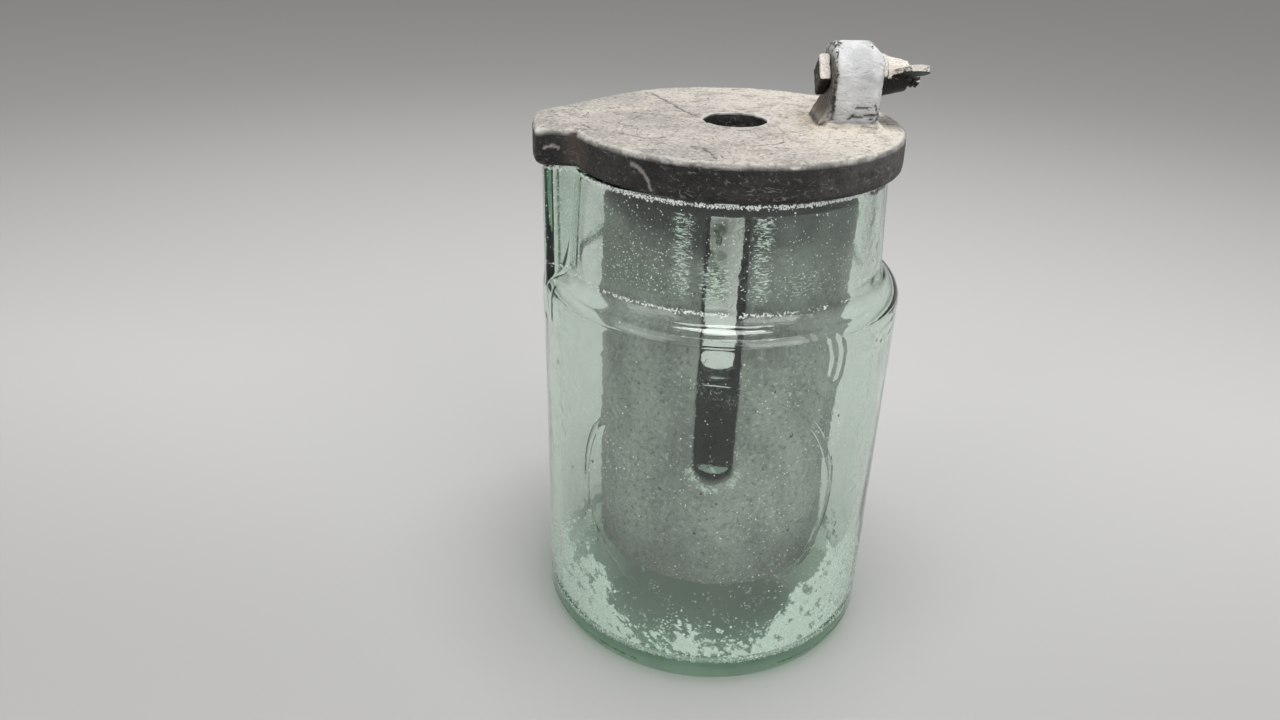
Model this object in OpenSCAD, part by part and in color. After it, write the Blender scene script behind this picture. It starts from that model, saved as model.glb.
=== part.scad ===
// Wet cell battery with a glass jar, a carbon cover carrying a slotted carbon
// cylinder, and a clamp terminal with a wing nut. Millimetres, +Z up, the
// origin is the centre of the jar's base.

/* [Glass jar] */
// Outside diameter of the jar's body
jar_d = 110; // [106:1:116]
// Height of the jar from its base to its rim
jar_h = 156.35; // [146:0.05:170]
// Outside diameter of the neck
neck_d = 95.7; // [93:0.1:98]
// Height of the neck
neck_h = 29.35; // [25:0.05:34]
// How much further out the neck is at its foot than at its rim
neck_draft = 1; // [0:0.05:1.2]
// Thickness of the glass wall
wall = 4.5; // [3.5:0.1:5.2]
// Thickness of the glass floor
floor_t = 7; // [5:0.5:10]
// Outside radius of the rounded heel
heel_r = 6; // [4:0.5:8]
// Inside radius where the wall meets the floor
floor_fillet = 4; // [2:0.5:6]
// Outside radius of the shoulder
shoulder_r = 6.5; // [6.2:0.1:8]
// Radius of the hollow between shoulder and neck
neck_fillet = 4; // [3:0.1:6]
// Bevel on both edges of the rim
rim_bevel = 1; // [0.5:0.1:1.4]

/* [Pouring lip of the jar] */
// How far the lip's outer wall lies inside the body's outside
lip_set_in = 0.2; // [0.1:0.05:0.4]
// Distance from the jar's axis to the lip's near side
lip_near = 20; // [17:0.5:24]
// How far the lip's slanted far side lies inside the neck's round
lip_far_set_in = 1.25; // [0.9:0.05:2.4]
// Slant of the far side from the lip's own direction
lip_slant = 36; // [30:1:44]

/* [Carbon cover] */
// Gap under the loose cover, where it lies on the rim
rim_gap = 0.05; // [0.02:0.01:0.2]
// How far the cover's edge stands out past the neck
cover_overhang = 0.85; // [0.4:0.05:2]
// Thickness of the cover
cover_t = 10.6; // [8:0.2:14]
// How far the loose cover lies to the right of the jar's axis
cover_shift = 1.65; // [-3:0.05:3]
// Bevel round the cover's edges
cover_bevel = 1; // [0.4:0.1:2]
// Diameter of the centre hole for the zinc rod
rod_hole_d = 18.4; // [14:0.2:22]
// How far the cover's lobe stands out past the jar's lip
lobe_overhang = 3.9; // [2:0.1:5]
// How far the lobe's sides stand out past the lip's sides
lobe_side_overhang = 1.6; // [0.6:0.1:2.4]
// Radius of the lobe's corners
lobe_corner = 3; // [1.5:0.5:5]

/* [Carbon cylinder] */
// Gap between the cylinder and the inside of the neck
carbon_gap = 5.15; // [4.5:0.05:9]
// Wall of the carbon cylinder
carbon_wall = 8; // [5:0.5:12]
// Height of the cylinder's foot above the jar's floor
carbon_foot_gap = 21; // [10:1:30]
// Depth that the cylinder is let into the cover
seat_depth = 3; // [1:0.5:4]
// Clearance round and above the cylinder in its seat
seat_clearance = 0.1; // [0.05:0.05:0.2]
// Width of each slot in the cylinder
slot_w = 11.2; // [6:0.2:16]
// Distance from the cylinder's foot to the slot's round end
slot_foot = 38; // [20:1:60]
// Distance from the cover's underside to the slot's square end
slot_head = 7; // [4:0.5:14]

/* [Terminal lug] */
// Angle of the lug round the cover, from the right
lug_angle = 6; // [0:1:20]
// Distance from the cover's edge to the lug's outer face
lug_edge_gap = 9; // [7:0.5:12]
// Thickness of the lug along the bolt
lug_t = 14.2; // [9:0.2:15]
// Width of the lug across the bolt
lug_w = 18.8; // [15:0.2:22]
// Height of the bolt's axis above the cover
bolt_axis_h = 13.2; // [12.5:0.1:16]
// Width of the bevel on the lug's upper edge above the nut
lug_top_bevel = 3; // [1.5:0.1:3.4]
// Height of the bevel on the lug's upper edge above the nut
lug_top_drop = 3.9; // [2:0.1:5]
// Width of the bevel on the lug's upper edge above the bolt's head
lug_head_bevel = 1; // [0.5:0.1:3]
// Height of the bevel on the lug's upper edge above the bolt's head
lug_head_drop = 2.2; // [1:0.1:5]
// Bevel on the lug's four upright edges
lug_side_bevel = 1.4; // [0.6:0.1:2]
// Reach of the flare round the lug's root
lug_flare = 2; // [1:0.1:4]
// Reach of the thicker root below the bolt's head
lug_heel = 3.4; // [2:0.1:4]
// Gap between that root and the bolt's head
heel_gap = 0.6; // [0.3:0.1:2]

/* [Bolt, washer and wing nut] */
// Diameter of the bolt
bolt_d = 6.35; // [5:0.05:7]
// Clearance of the bolt in the lug and in the washer
bolt_clearance = 0.3; // [0.2:0.05:0.5]
// Width of the bolt's square head
head_w = 8.8; // [8:0.1:10]
// Thickness of the bolt's head
head_t = 3.2; // [2.4:0.1:4]
// Turn of the head on its axis
head_turn = -42; // [-45:1:45]
// Free length of thread past the wing nut
free_thread = 3.8; // [3:0.1:8]
// Pitch of the thread
pitch = 1.27; // [1:0.01:1.4]
// Outside diameter of the clamp washer
washer_d = 12; // [11.5:0.1:14]
// Thickness of the clamp washer
washer_t = 1.5; // [1:0.1:2]
// Running clearance of the wing nut on the bolt
nut_clearance = 0.08; // [0.04:0.01:0.1]
// Diameter of the hub where it meets the washer
hub_d = 11.2; // [10.4:0.1:11.4]
// Diameter of the hub's outer end
hub_end_d = 8.4; // [8:0.1:9]
// Length of the hub
hub_l = 6.5; // [5:0.1:9]
// Thickness of each wing
wing_t = 2; // [1.4:0.1:2.6]
// Radius of the rounded end of each wing
wing_r = 3.6; // [2.6:0.1:4]
// How far the wings reach past the end of the hub
wing_flare = 4.2; // [2:0.1:6]
// Gap between a turning wing and the cover
wing_clearance = 0.9; // [0.6:0.1:2]
// Turn of the wings from the level at rest
wing_turn = -20; // [-90:1:90]

/* [Hidden] */
$fn = 96;

jar_r = jar_d / 2;
neck_r = neck_d / 2;

// The neck's foot, and the two arcs that join it to the body
neck_z = jar_h - neck_h;
neck_foot_r = neck_r + neck_draft;
hollow_x = neck_foot_r + neck_fillet;
shoulder_x = jar_r - shoulder_r;
shoulder_z = neck_z - sqrt(pow(shoulder_r + neck_fillet, 2) - pow(hollow_x - shoulder_x, 2));

// The lip starts inside the body's wall and is open to the neck
lip_r = jar_r - lip_set_in;
lip_z = shoulder_z - shoulder_r;
lip_root = 0.75 * neck_r;
lip_far = neck_r - lip_far_set_in;

cover_r = neck_r + cover_overhang;
cover_z = jar_h + rim_gap;
cover_top = cover_z + cover_t;

carbon_r = neck_r - wall - carbon_gap;
carbon_bore_r = carbon_r - carbon_wall;
carbon_z = floor_t + carbon_foot_gap;
carbon_top = cover_z + seat_depth;

lug_x = cover_r - lug_edge_gap - lug_t / 2;
bolt_hole_d = bolt_d + 2 * bolt_clearance;
head_reach = head_w / 2 * (abs(cos(head_turn)) + abs(sin(head_turn)));
heel_h = bolt_axis_h - head_reach - heel_gap;
clamp_x = lug_t / 2;
nut_x = clamp_x + washer_t;
bolt_end_x = nut_x + hub_l + free_thread;
bolt_end_bevel = pitch / 2;
wing_reach = bolt_axis_h - wing_clearance;

// Longer or taller than any piece, for cuts that run right through
far_away = 3 * jar_d;
cut = 1;

glass = [0.67, 0.76, 0.68, 0.45];
carbon = [0.27, 0.26, 0.25];
dusty_carbon = [0.62, 0.60, 0.57];
aged_brass = [0.55, 0.50, 0.42];

// Half section of the jar. An inset of 0 gives the outside, and an inset of
// the wall's thickness gives the hollow.
module jar_section(inset, foot, corner, bevel_side) {
    body_r = jar_r - inset;
    throat_r = neck_r - inset;
    translate([0, foot + corner]) square([body_r, shoulder_z - foot - corner]);
    translate([0, foot]) square([body_r - corner, corner]);
    translate([body_r - corner, foot + corner]) circle(r = corner);
    translate([shoulder_x, shoulder_z]) circle(r = shoulder_r - inset);
    difference() {
        polygon([[0, shoulder_z], [shoulder_x, shoulder_z], [hollow_x, neck_z], [0, neck_z]]);
        translate([hollow_x, neck_z]) circle(r = neck_fillet + inset);
    }
    polygon([[0, neck_z], [neck_foot_r - inset, neck_z], [throat_r, jar_h - rim_bevel],
             [throat_r + bevel_side * rim_bevel, jar_h], [0, jar_h]]);
}

// Plan of the lip, or of the cover's lobe over it: the body's round, a near
// side square to the bolt's direction and a slanted far side.
module lip_plan(outer_r, near, far) {
    intersection() {
        circle(r = outer_r);
        translate([-far_away, -near]) square([far_away - lip_root, far_away]);
        rotate(180 - lip_slant) translate([far - far_away, -far_away / 2])
            square([far_away, far_away]);
    }
}

module jar_lip_plan(inset) {
    lip_plan(lip_r - inset, lip_near - inset, lip_far - inset);
}

module lobe_plan(inset) {
    offset(r = lobe_corner) offset(delta = -lobe_corner)
        lip_plan(lip_r + lobe_overhang - inset,
                 lip_near + lobe_side_overhang - inset,
                 lip_far + lobe_side_overhang - inset);
}

module glass_jar() {
    color(glass) difference() {
        union() {
            rotate_extrude() jar_section(0, 0, heel_r, -1);
            hull() {
                translate([0, 0, lip_z]) linear_extrude(jar_h - rim_bevel - lip_z)
                    jar_lip_plan(0);
                translate([0, 0, lip_z]) linear_extrude(jar_h - lip_z)
                    jar_lip_plan(rim_bevel);
            }
        }
        rotate_extrude() jar_section(wall, floor_t, floor_fillet, 1);
        translate([0, 0, jar_h]) cylinder(r = neck_r - wall + rim_bevel, h = cut);
        hull() {
            translate([0, 0, lip_z]) linear_extrude(jar_h - rim_bevel - lip_z)
                jar_lip_plan(wall);
            translate([0, 0, jar_h]) linear_extrude(cut)
                jar_lip_plan(wall - rim_bevel);
        }
    }
}

// Puts its children at the centre of the lug's bolt hole, the bolt along +X
module at_terminal() {
    translate([cover_shift, 0, cover_top]) rotate(lug_angle)
        translate([lug_x, 0, bolt_axis_h]) children();
}

module cover_disc() {
    rotate_extrude() polygon([
        [0, 0], [cover_r - cover_bevel, 0], [cover_r, cover_bevel],
        [cover_r, cover_t - cover_bevel], [cover_r - cover_bevel, cover_t], [0, cover_t]]);
}

module cover_lobe() {
    hull() {
        translate([0, 0, cover_bevel]) linear_extrude(cover_t - 2 * cover_bevel) lobe_plan(0);
        linear_extrude(cover_t) lobe_plan(cover_bevel);
    }
}

// The lug stands on the cover with a round top, bevelled edges and a flared root,
// which is thicker below the bolt's head
module lug_body() {
    root = bolt_axis_h + cover_bevel;
    crown = lug_w / 2;
    intersection() {
        rotate([90, 0, 90]) linear_extrude(lug_t, center = true) {
            circle(r = crown);
            translate([-crown, -root]) square([lug_w, root]);
        }
        rotate([90, 0, 0]) linear_extrude(lug_w + cut, center = true) polygon([
            [-lug_t / 2, -root], [lug_t / 2, -root],
            [lug_t / 2, crown - lug_top_drop], [lug_t / 2 - lug_top_bevel, crown],
            [lug_head_bevel - lug_t / 2, crown], [-lug_t / 2, crown - lug_head_drop]]);
        translate([0, 0, -root]) linear_extrude(root + lug_w) polygon([
            for (s = [[1, 1], [-1, 1], [-1, -1], [1, -1]])
                for (k = s[0] * s[1] > 0 ? [0, 1] : [1, 0])
                    [s[0] * (lug_t / 2 - k * lug_side_bevel),
                     s[1] * (crown - (1 - k) * lug_side_bevel)]]);
    }
}

module lug_root() {
    translate([0, 0, -bolt_axis_h]) {
        hull() {
            translate([0, 0, -cover_bevel / 2])
                cube([lug_t + 2 * lug_flare, lug_w + 2 * lug_flare, cover_bevel], center = true);
            translate([0, 0, lug_flare])
                cube([lug_t - lug_side_bevel, lug_w - lug_side_bevel, cover_bevel], center = true);
        }
        rotate([90, 0, 0]) linear_extrude(lug_w - 2 * lug_side_bevel, center = true) polygon([
            [0, -cover_bevel], [-lug_t / 2 - lug_heel, -cover_bevel],
            [-lug_t / 2 - lug_heel, 0], [-lug_t / 2, heel_h], [0, heel_h]]);
    }
}

module cylinder_seat() {
    translate([0, 0, -cut]) difference() {
        cylinder(r = carbon_r + seat_clearance, h = cut + seat_depth + seat_clearance);
        cylinder(r = carbon_bore_r - seat_clearance, h = 2 * cut + seat_depth);
    }
}

module carbon_cover() {
    color(dusty_carbon) difference() {
        union() {
            translate([cover_shift, 0, cover_z]) {
                cover_disc();
                cover_lobe();
            }
            at_terminal() {
                lug_body();
                lug_root();
            }
        }
        translate([cover_shift, 0, cover_z]) {
            cylinder_seat();
            translate([0, 0, -cut]) cylinder(d = rod_hole_d, h = cover_t + 2 * cut);
        }
        at_terminal() rotate([0, 90, 0])
            cylinder(d = bolt_hole_d, h = lug_t + 2 * cut, center = true);
    }
}

// One slot runs right through both walls, with a round end below
module cylinder_slots() {
    round_z = carbon_z + slot_foot + slot_w / 2;
    rotate([90, 0, 0]) linear_extrude(2 * carbon_r + 2 * cut, center = true) {
        translate([0, round_z]) circle(d = slot_w);
        translate([-slot_w / 2, round_z]) square([slot_w, cover_z - slot_head - round_z]);
    }
}

module carbon_cylinder() {
    color(carbon) translate([cover_shift, 0, 0]) difference() {
        translate([0, 0, carbon_z]) cylinder(r = carbon_r, h = carbon_top - carbon_z);
        translate([0, 0, carbon_z - cut])
            cylinder(r = carbon_bore_r, h = carbon_top - carbon_z + 2 * cut);
        cylinder_slots();
    }
}

module terminal_bolt() {
    color(aged_brass) at_terminal() {
        rotate([head_turn, 0, 0]) translate([-clamp_x - head_t, -head_w / 2, -head_w / 2])
            cube([head_t, head_w, head_w]);
        rotate([0, 90, 0]) translate([0, 0, -clamp_x - head_t / 2]) {
            shank_l = bolt_end_x + clamp_x + head_t / 2;
            cylinder(d = bolt_d, h = shank_l - bolt_end_bevel);
            translate([0, 0, shank_l - bolt_end_bevel])
                cylinder(d1 = bolt_d, d2 = bolt_d - 2 * bolt_end_bevel, h = bolt_end_bevel);
        }
    }
}

module clamp_washer() {
    color(aged_brass) at_terminal() rotate([0, 90, 0]) translate([0, 0, clamp_x])
        difference() {
            cylinder(d = washer_d, h = washer_t);
            translate([0, 0, -cut]) cylinder(d = bolt_hole_d, h = washer_t + 2 * cut);
        }
}

// One wing, drawn along the bolt and outwards from it
module wing_plan() {
    hull() {
        translate([hub_l + wing_flare - wing_r, wing_reach - wing_r]) circle(r = wing_r);
        translate([wing_t / 2, 0]) square([hub_l - wing_t, hub_end_d / 2]);
    }
}

module wing_nut() {
    color(aged_brass) at_terminal() translate([nut_x, 0, 0]) rotate([wing_turn, 0, 0])
        difference() {
            union() {
                rotate([0, 90, 0]) cylinder(d1 = hub_d, d2 = hub_end_d, h = hub_l);
                for (side = [0, 180])
                    rotate([side, 0, 0]) linear_extrude(wing_t, center = true) wing_plan();
            }
            rotate([0, 90, 0]) translate([0, 0, -cut])
                cylinder(d = bolt_d + 2 * nut_clearance, h = hub_l + wing_flare + 2 * cut);
        }
}

glass_jar();
carbon_cover();
carbon_cylinder();
terminal_bolt();
clamp_washer();
wing_nut();
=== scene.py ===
import math

import bmesh
import bpy
import numpy as np
from mathutils import Matrix, Vector


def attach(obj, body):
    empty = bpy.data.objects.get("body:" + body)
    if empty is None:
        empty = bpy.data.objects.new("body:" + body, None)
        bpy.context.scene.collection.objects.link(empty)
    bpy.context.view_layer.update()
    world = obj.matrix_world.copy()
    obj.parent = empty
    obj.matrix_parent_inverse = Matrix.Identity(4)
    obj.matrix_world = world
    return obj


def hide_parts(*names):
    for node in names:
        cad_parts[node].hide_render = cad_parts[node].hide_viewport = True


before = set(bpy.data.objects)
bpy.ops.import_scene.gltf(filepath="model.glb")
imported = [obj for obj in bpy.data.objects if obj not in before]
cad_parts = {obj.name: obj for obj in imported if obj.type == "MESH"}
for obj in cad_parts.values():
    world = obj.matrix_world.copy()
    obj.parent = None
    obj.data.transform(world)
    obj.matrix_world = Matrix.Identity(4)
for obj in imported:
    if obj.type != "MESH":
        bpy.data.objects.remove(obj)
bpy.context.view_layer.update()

# A wet cell: a pale green glass jar with a neck and a pouring lip, a dusty
# carbon cover with a clamp terminal, and the slotted carbon cylinder under it.
# Sizes are millimetres, as in the CAD source, and become metres where points are put
# into a mesh. Directions round the jar are degrees from the X axis.
MM = 0.001

# Glass jar
JAR_R, NECK_R, NECK_FOOT_R, JAR_H, NECK_Z = 55.0, 47.85, 48.85, 156.35, 127.0
WALL, FLOOR_T, FLOOR_FILLET = 4.5, 5.6, 4.0
HEEL_R, HEEL_LIFT, CONTACT_R, RAISED_R = 6.0, 0.47, 43.6, 45.2
SHOULDER_X, SHOULDER_Z, SHOULDER_R, SHOULDER_TURN = 48.5, 117.443, 6.5, 65.53
HOLLOW_X, HOLLOW_R = 52.85, 4.0
RIM_ROUND, RIM_IN = 1.5, 0.7
LIP_R, LIP_NEAR, LIP_FAR, LIP_FAR_TURN = 54.8, 20.0, 46.6, 144.0
LIP_BLEND, LIP_CORNER, LIP_CORNER_INSIDE = 1.6, 8.0, 16.0

# Marks that the mould left: the round plate on the front, a seam on the shoulder, a
# raised line below it, and bubbles. The camera looks at the direction FRONT, in degrees.
FRONT, PLATE_Z, PLATE_R = 270, 68.0, 38.5
SHOULDER_SEAM_Z, SHOULDER_LINE_Z, BUBBLES = 119.3, 111.5, 58

# The cord of glass under the neck: how far right of the front it runs, and how high, and
# the height below which a fainter one follows it
CORD_LINE = ((15, 126), (19, 129.5), (25, 129.8), (30, 126), (33, 120), (35, 114),
             (34.5, 108.7))
CORD_BESIDE_Z = 124

# Each wall of the jar: how far it lies inside the outline, which way leads out of the
# glass, how deep its waves are and their seed. The outside is then set in a little
# further, so that its raised lines stay within the jar's size.
OUTER_WALL, INNER_WALL = (0.0, 1, 0.16, 11), (WALL, -1, 0.20, 37)
SET_IN = 0.26

# How far the salts' bed and the haze lie off the inner wall, how deep the specks' bed
# lies in the outer one, and how many columns of points go round the inner ones
SALT_GAP, HAZE_GAP, SPECK_DEPTH, SHEET_COLUMNS = 0.05, 0.12, 0.28, 300

# Carbon cover, cylinder and terminal
COVER_SHIFT, COVER_Z, COVER_TOP = 1.65, 156.4, 167.0
CARBON_R, CARBON_FOOT = 38.2, 28.0
SLOT_W, SLOT_ROUND_Z, SLOT_TOP = 11.2, 71.6, 149.4
LUG_TURN, LUG_X, BOLT_H, LUG_T = 6.0, 32.6, 13.2, 14.2
BOLT_R, PITCH, BOLT_END_X, THREAD_START = 3.175, 1.27, 18.9, 5.2
HEAD_W, HEAD_T, HEAD_TURN, HEAD_ROUND = 8.8, 3.2, -42.0, 0.75
WASHER_X, WASHER_R, WASHER_HOLE_R, WASHER_T, WASHER_ROUND = 7.1, 6.0, 3.475, 1.5, 0.35

# How fine each solid is remade, in millimetres, and how many rounds soften its edges
CYLINDER_MESH, COVER_MESH, NUT_MESH = (0.95, 4), (0.52, 3), (0.17, 6)

# From millimetres along, across and above the bolt to millimetres in the frame
TERMINAL = (Matrix.Translation((COVER_SHIFT, 0, COVER_TOP))
            @ Matrix.Rotation(math.radians(LUG_TURN), 4, "Z")
            @ Matrix.Translation((LUG_X, 0, BOLT_H)))


# Noise and shape arithmetic on arrays of points

def lattice(seed):
    """A shuffled table and 256 random directions, which the noise looks up."""
    draw = np.random.default_rng(seed)
    table = draw.permutation(256)
    ways = draw.normal(size=(256, 3))
    return np.concatenate([table, table]), ways / np.linalg.norm(ways, axis=1)[:, None]


def noise(points, cell, seed):
    """Smooth noise, about -1 to 1, with one bump to a cell of that many millimetres."""
    table, ways = lattice(seed)
    scaled = points / cell
    corner = np.floor(scaled).astype(np.int64)
    part = scaled - corner
    ease = part ** 3 * (part * (part * 6 - 15) + 10)
    total = np.zeros(len(points))
    for step in np.ndindex(2, 2, 2):
        x, y, z = ((corner + step) & 255).T
        way = ways[table[table[table[x] + y] + z]]
        weight = np.prod(np.where(step, ease, 1 - ease), axis=1)
        total += weight * ((part - step) * way).sum(axis=1)
    return total * 1.6


def fractal(points, cell, seed, octaves=3):
    """Noise with finer and fainter noise on it."""
    return sum(noise(points, cell / 2 ** k, seed + k) / 2 ** k for k in range(octaves))


def spots(points, cell, seed):
    """Distance in millimetres to the nearest of points scattered one to a cell, and
    that one's own random number."""
    table, _ = lattice(seed)
    places = np.random.default_rng(seed).random((256, 4))
    corner = np.floor(points / cell).astype(np.int64)
    nearest, own = np.full(len(points), 9e9), np.zeros(len(points))
    for step in np.ndindex(3, 3, 3):
        near = corner + step - 1
        x, y, z = (near & 255).T
        place = places[table[table[table[x] + y] + z]]
        away = np.linalg.norm((near + place[:, :3]) * cell - points, axis=1)
        closer = away < nearest
        nearest[closer], own[closer] = away[closer], place[closer, 3]
    return nearest, own


def step_up(values, low, high):
    """0 below low, 1 above high and a smooth rise between."""
    t = np.clip((values - low) / (high - low), 0, 1)
    return t * t * (3 - 2 * t)


def bump_at(values, centre, width):
    """1 at the centre, falling to nothing a couple of widths away."""
    return np.exp(-((values - centre) / width) ** 2)


def soft_least(a, b, blend):
    """The smaller of two values, with the corner between them rounded."""
    return np.minimum(a, b) - np.maximum(blend - np.abs(a - b), 0) ** 2 / (4 * blend)


def soft_most(a, b, blend):
    """The larger of two values, with the corner between them rounded."""
    return -soft_least(-a, -b, blend)


def round_axis(points):
    """Each point's direction round the jar's axis, 0 to 360 degrees."""
    return np.degrees(np.arctan2(points[:, 1], points[:, 0])) % 360


def wear(points, cell, seed, level=0.5):
    """Noise from 0 to 1 with that middle level, for how far a surface has worn."""
    return np.clip(level + (1 - level) * fractal(points, cell, seed), 0, 1)


def pits(points, cell, seed, above, depth, reach, soft):
    """Depth of round pits, one to a cell, where the cell's own number is above a limit."""
    away, own = spots(points, cell, seed)
    return np.where(own > above, depth * step_up(reach - away, 0, soft), 0)


def jitter(points, cell, seed):
    """A small push for each point, which makes straight lines ragged."""
    return np.stack([noise(points, cell, seed + k) for k in range(3)], 1)


def away_from(middle, points):
    """Directions from the middle to the points, one long."""
    away = points - middle
    return away / np.maximum(np.linalg.norm(away, axis=1), 1e-6)[:, None]


def from_line(points, line):
    """Distance from each point to a line through several points."""
    least = np.full(len(points), 9e9)
    line = np.array(line, float)
    for a, b in zip(line[:-1], line[1:]):
        along = b - a
        t = np.clip(((points - a) @ along) / (along @ along), 0, 1)
        least = np.minimum(least, np.linalg.norm(points - a - t[:, None] * along, axis=1))
    return least


def in_terminal(points):
    """Points in the frame, as seen from the middle of the lug's bolt hole."""
    back = np.array(TERMINAL.inverted())
    return points @ back[:3, :3].T + back[:3, 3]


# Meshes

def in_scene(name, data):
    """An object made from its data and linked to the scene."""
    made = bpy.data.objects.new(name, data)
    bpy.context.scene.collection.objects.link(made)
    return made


def new_piece(name, points, faces, material, smooth=True):
    """A mesh object from points in millimetres, with its place in its mesh."""
    mesh = bpy.data.meshes.new(name)
    mesh.from_pydata((np.asarray(points) * MM).tolist(), [], [list(f) for f in faces])
    mesh.materials.append(material)
    mesh.polygons.foreach_set("use_smooth", [smooth] * len(mesh.polygons))
    mesh.update()
    return in_scene(name, mesh)


def points_of(piece):
    """The piece's points in millimetres and their normals."""
    count = len(piece.data.vertices)
    points, normals = np.empty(count * 3), np.empty(count * 3, np.float32)
    piece.data.vertices.foreach_get("co", points)
    piece.data.vertices.foreach_get("normal", normals)
    return points.reshape(-1, 3) / MM, normals.reshape(-1, 3).astype(float)


def move_points(piece, points):
    """Puts the piece's points, in millimetres, where they are given."""
    piece.data.vertices.foreach_set("co", (points * MM).ravel())
    piece.data.update()


def mark(piece, name, values):
    """Keeps one number for each point, which a material or a node tree reads."""
    kept = piece.data.attributes.new(name, "FLOAT", "POINT")
    kept.data.foreach_set("value", np.asarray(values, np.float32))


def arc(centre_x, centre_z, radius, start, end, steps):
    """Points of a profile along an arc, without its first point."""
    turn = np.radians(np.linspace(start, end, steps + 1)[1:])
    return np.stack([centre_x + radius * np.cos(turn), centre_z + radius * np.sin(turn)], 1)


def run(x0, z0, x1, z1, steps):
    """Points of a profile along a straight run, without its first point."""
    t = np.linspace(0, 1, steps + 1)[1:, None]
    return np.array([x0, z0]) * (1 - t) + np.array([x1, z1]) * t


def ring_faces(rows, columns):
    """Faces between closed rings of points that follow each other."""
    row, column = np.arange(rows - 1)[:, None], np.arange(columns)[None, :]
    a = row * columns + column
    b = row * columns + (column + 1) % columns
    return np.stack([a, b, b + columns, a + columns], -1).reshape(-1, 4)


def turned(profile, columns):
    """Points of a profile turned round the Z axis, ring after ring."""
    turn = np.linspace(0, 2 * np.pi, columns, endpoint=False)
    return np.stack([profile[:, :1] * np.cos(turn), profile[:, :1] * np.sin(turn),
                     np.repeat(profile[:, 1:], columns, axis=1)], -1).reshape(-1, 3)


def close_ends(points, rows, columns, start_z, end_z):
    """Adds the two middle points and their fans to a stack of rings."""
    faces = [list(f) for f in ring_faces(rows, columns)]
    start, end = len(points), len(points) + 1
    last = (rows - 1) * columns
    for c in range(columns):
        d = (c + 1) % columns
        faces.append([start, d, c])
        faces.append([end, last + c, last + d])
    return np.vstack([points, [0, 0, start_z], [0, 0, end_z]]), faces


def joined(*shapes):
    """Several (points, faces) as one."""
    points, faces, first = [], [], 0
    for some_points, some_faces in shapes:
        points.append(np.asarray(some_points))
        faces += [[first + i for i in f] for f in some_faces]
        first += len(some_points)
    return np.vstack(points), faces


def placed(shape, matrix):
    """A shape of points and faces, moved and turned by a matrix."""
    points, faces = shape
    m = np.array(matrix)
    return points @ m[:3, :3].T + m[:3, 3], faces


def rounded_block(size, radius, cuts):
    """A block with rounded edges, from a cube cut into a grid on each side."""
    form = bmesh.new()
    bmesh.ops.create_cube(form, size=2)
    bmesh.ops.subdivide_edges(form, edges=form.edges[:], cuts=cuts, use_grid_fill=True)
    points = np.array([v.co for v in form.verts])
    faces = [[v.index for v in f.verts] for f in form.faces]
    form.free()
    half = np.array(size) / 2
    out = points * half
    core = np.clip(out, radius - half, half - radius)
    away = out - core
    length = np.linalg.norm(away, axis=1)[:, None]
    return core + away / np.maximum(length, 1e-9) * np.minimum(length, radius), faces


def remade(node, name, fineness, material):
    """A merged copy of a CAD node, remade as an even dense mesh with its edges softened."""
    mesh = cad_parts[node].data.copy()
    form = bmesh.new()
    form.from_mesh(mesh)
    bmesh.ops.remove_doubles(form, verts=form.verts, dist=1e-6)
    form.to_mesh(mesh)
    form.free()
    rough = in_scene(name + "_rough", mesh)
    size, rounds = fineness
    even = rough.modifiers.new("even", "REMESH")
    even.mode, even.voxel_size = "VOXEL", size * MM
    soft = rough.modifiers.new("soft", "SMOOTH")
    soft.iterations, soft.factor = rounds, 0.5
    piece = made_plain(rough, name)
    piece.data.materials.clear()
    piece.data.materials.append(material)
    piece.data.polygons.foreach_set("use_smooth", [True] * len(piece.data.polygons))
    return piece


def made_plain(source, name):
    """The source with its modifiers applied, as a new plain mesh. The source goes."""
    graph = bpy.context.evaluated_depsgraph_get()
    mesh = bpy.data.meshes.new_from_object(source.evaluated_get(graph))
    mesh.name = name
    bpy.data.objects.remove(source)
    return in_scene(name, mesh)


def curving(piece, rounds):
    """How sharply the surface turns at each point: above 0 on an edge that stands out,
    below 0 in a corner."""
    points, normals = points_of(piece)
    edges = np.empty(len(piece.data.edges) * 2, np.int32)
    piece.data.edges.foreach_get("vertices", edges)
    a, b = edges.reshape(-1, 2).T
    count = np.bincount(a, minlength=len(points)) + np.bincount(b, minlength=len(points))

    def spread(values):
        total = np.zeros_like(values)
        np.add.at(total, a, values[b])
        np.add.at(total, b, values[a])
        return total / count.reshape((-1,) + (1,) * (values.ndim - 1))

    middle = points
    for _ in range(rounds):
        middle = spread(middle)
    turn = ((points - middle) * normals).sum(axis=1)
    return spread(turn)


# Node trees

def put(tree, kind, inputs=None, **settings):
    """Adds a node, sets its properties and fills its inputs with values or links."""
    made = tree.nodes.new(kind)
    for name, value in settings.items():
        setattr(made, name, value)
    for name, value in (inputs or {}).items():
        if isinstance(value, bpy.types.NodeSocket):
            tree.links.new(value, made.inputs[name])
        else:
            made.inputs[name].default_value = value
    return made


def arith(tree, operation, a, b=0.0, clamp=False):
    """Arithmetic on two values or links. The four below are the ones used most."""
    return put(tree, "ShaderNodeMath", {0: a, 1: b}, operation=operation,
               use_clamp=clamp).outputs[0]


def times(tree, a, b):
    return arith(tree, "MULTIPLY", a, b)


def plus(tree, a, b):
    return arith(tree, "ADD", a, b)


def minus(tree, a, b):
    return arith(tree, "SUBTRACT", a, b)


def most(tree, a, b):
    return arith(tree, "MAXIMUM", a, b)


def blend_colour(tree, share, a, b):
    return put(tree, "ShaderNodeMix", {0: share, 6: a, 7: b}, data_type="RGBA").outputs[2]


def coats(tree, base, *layers):
    """A base colour under several coats, each given as where it shows and its colour."""
    for share, coat in layers:
        base = blend_colour(tree, share, base, coat)
    return base


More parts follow.
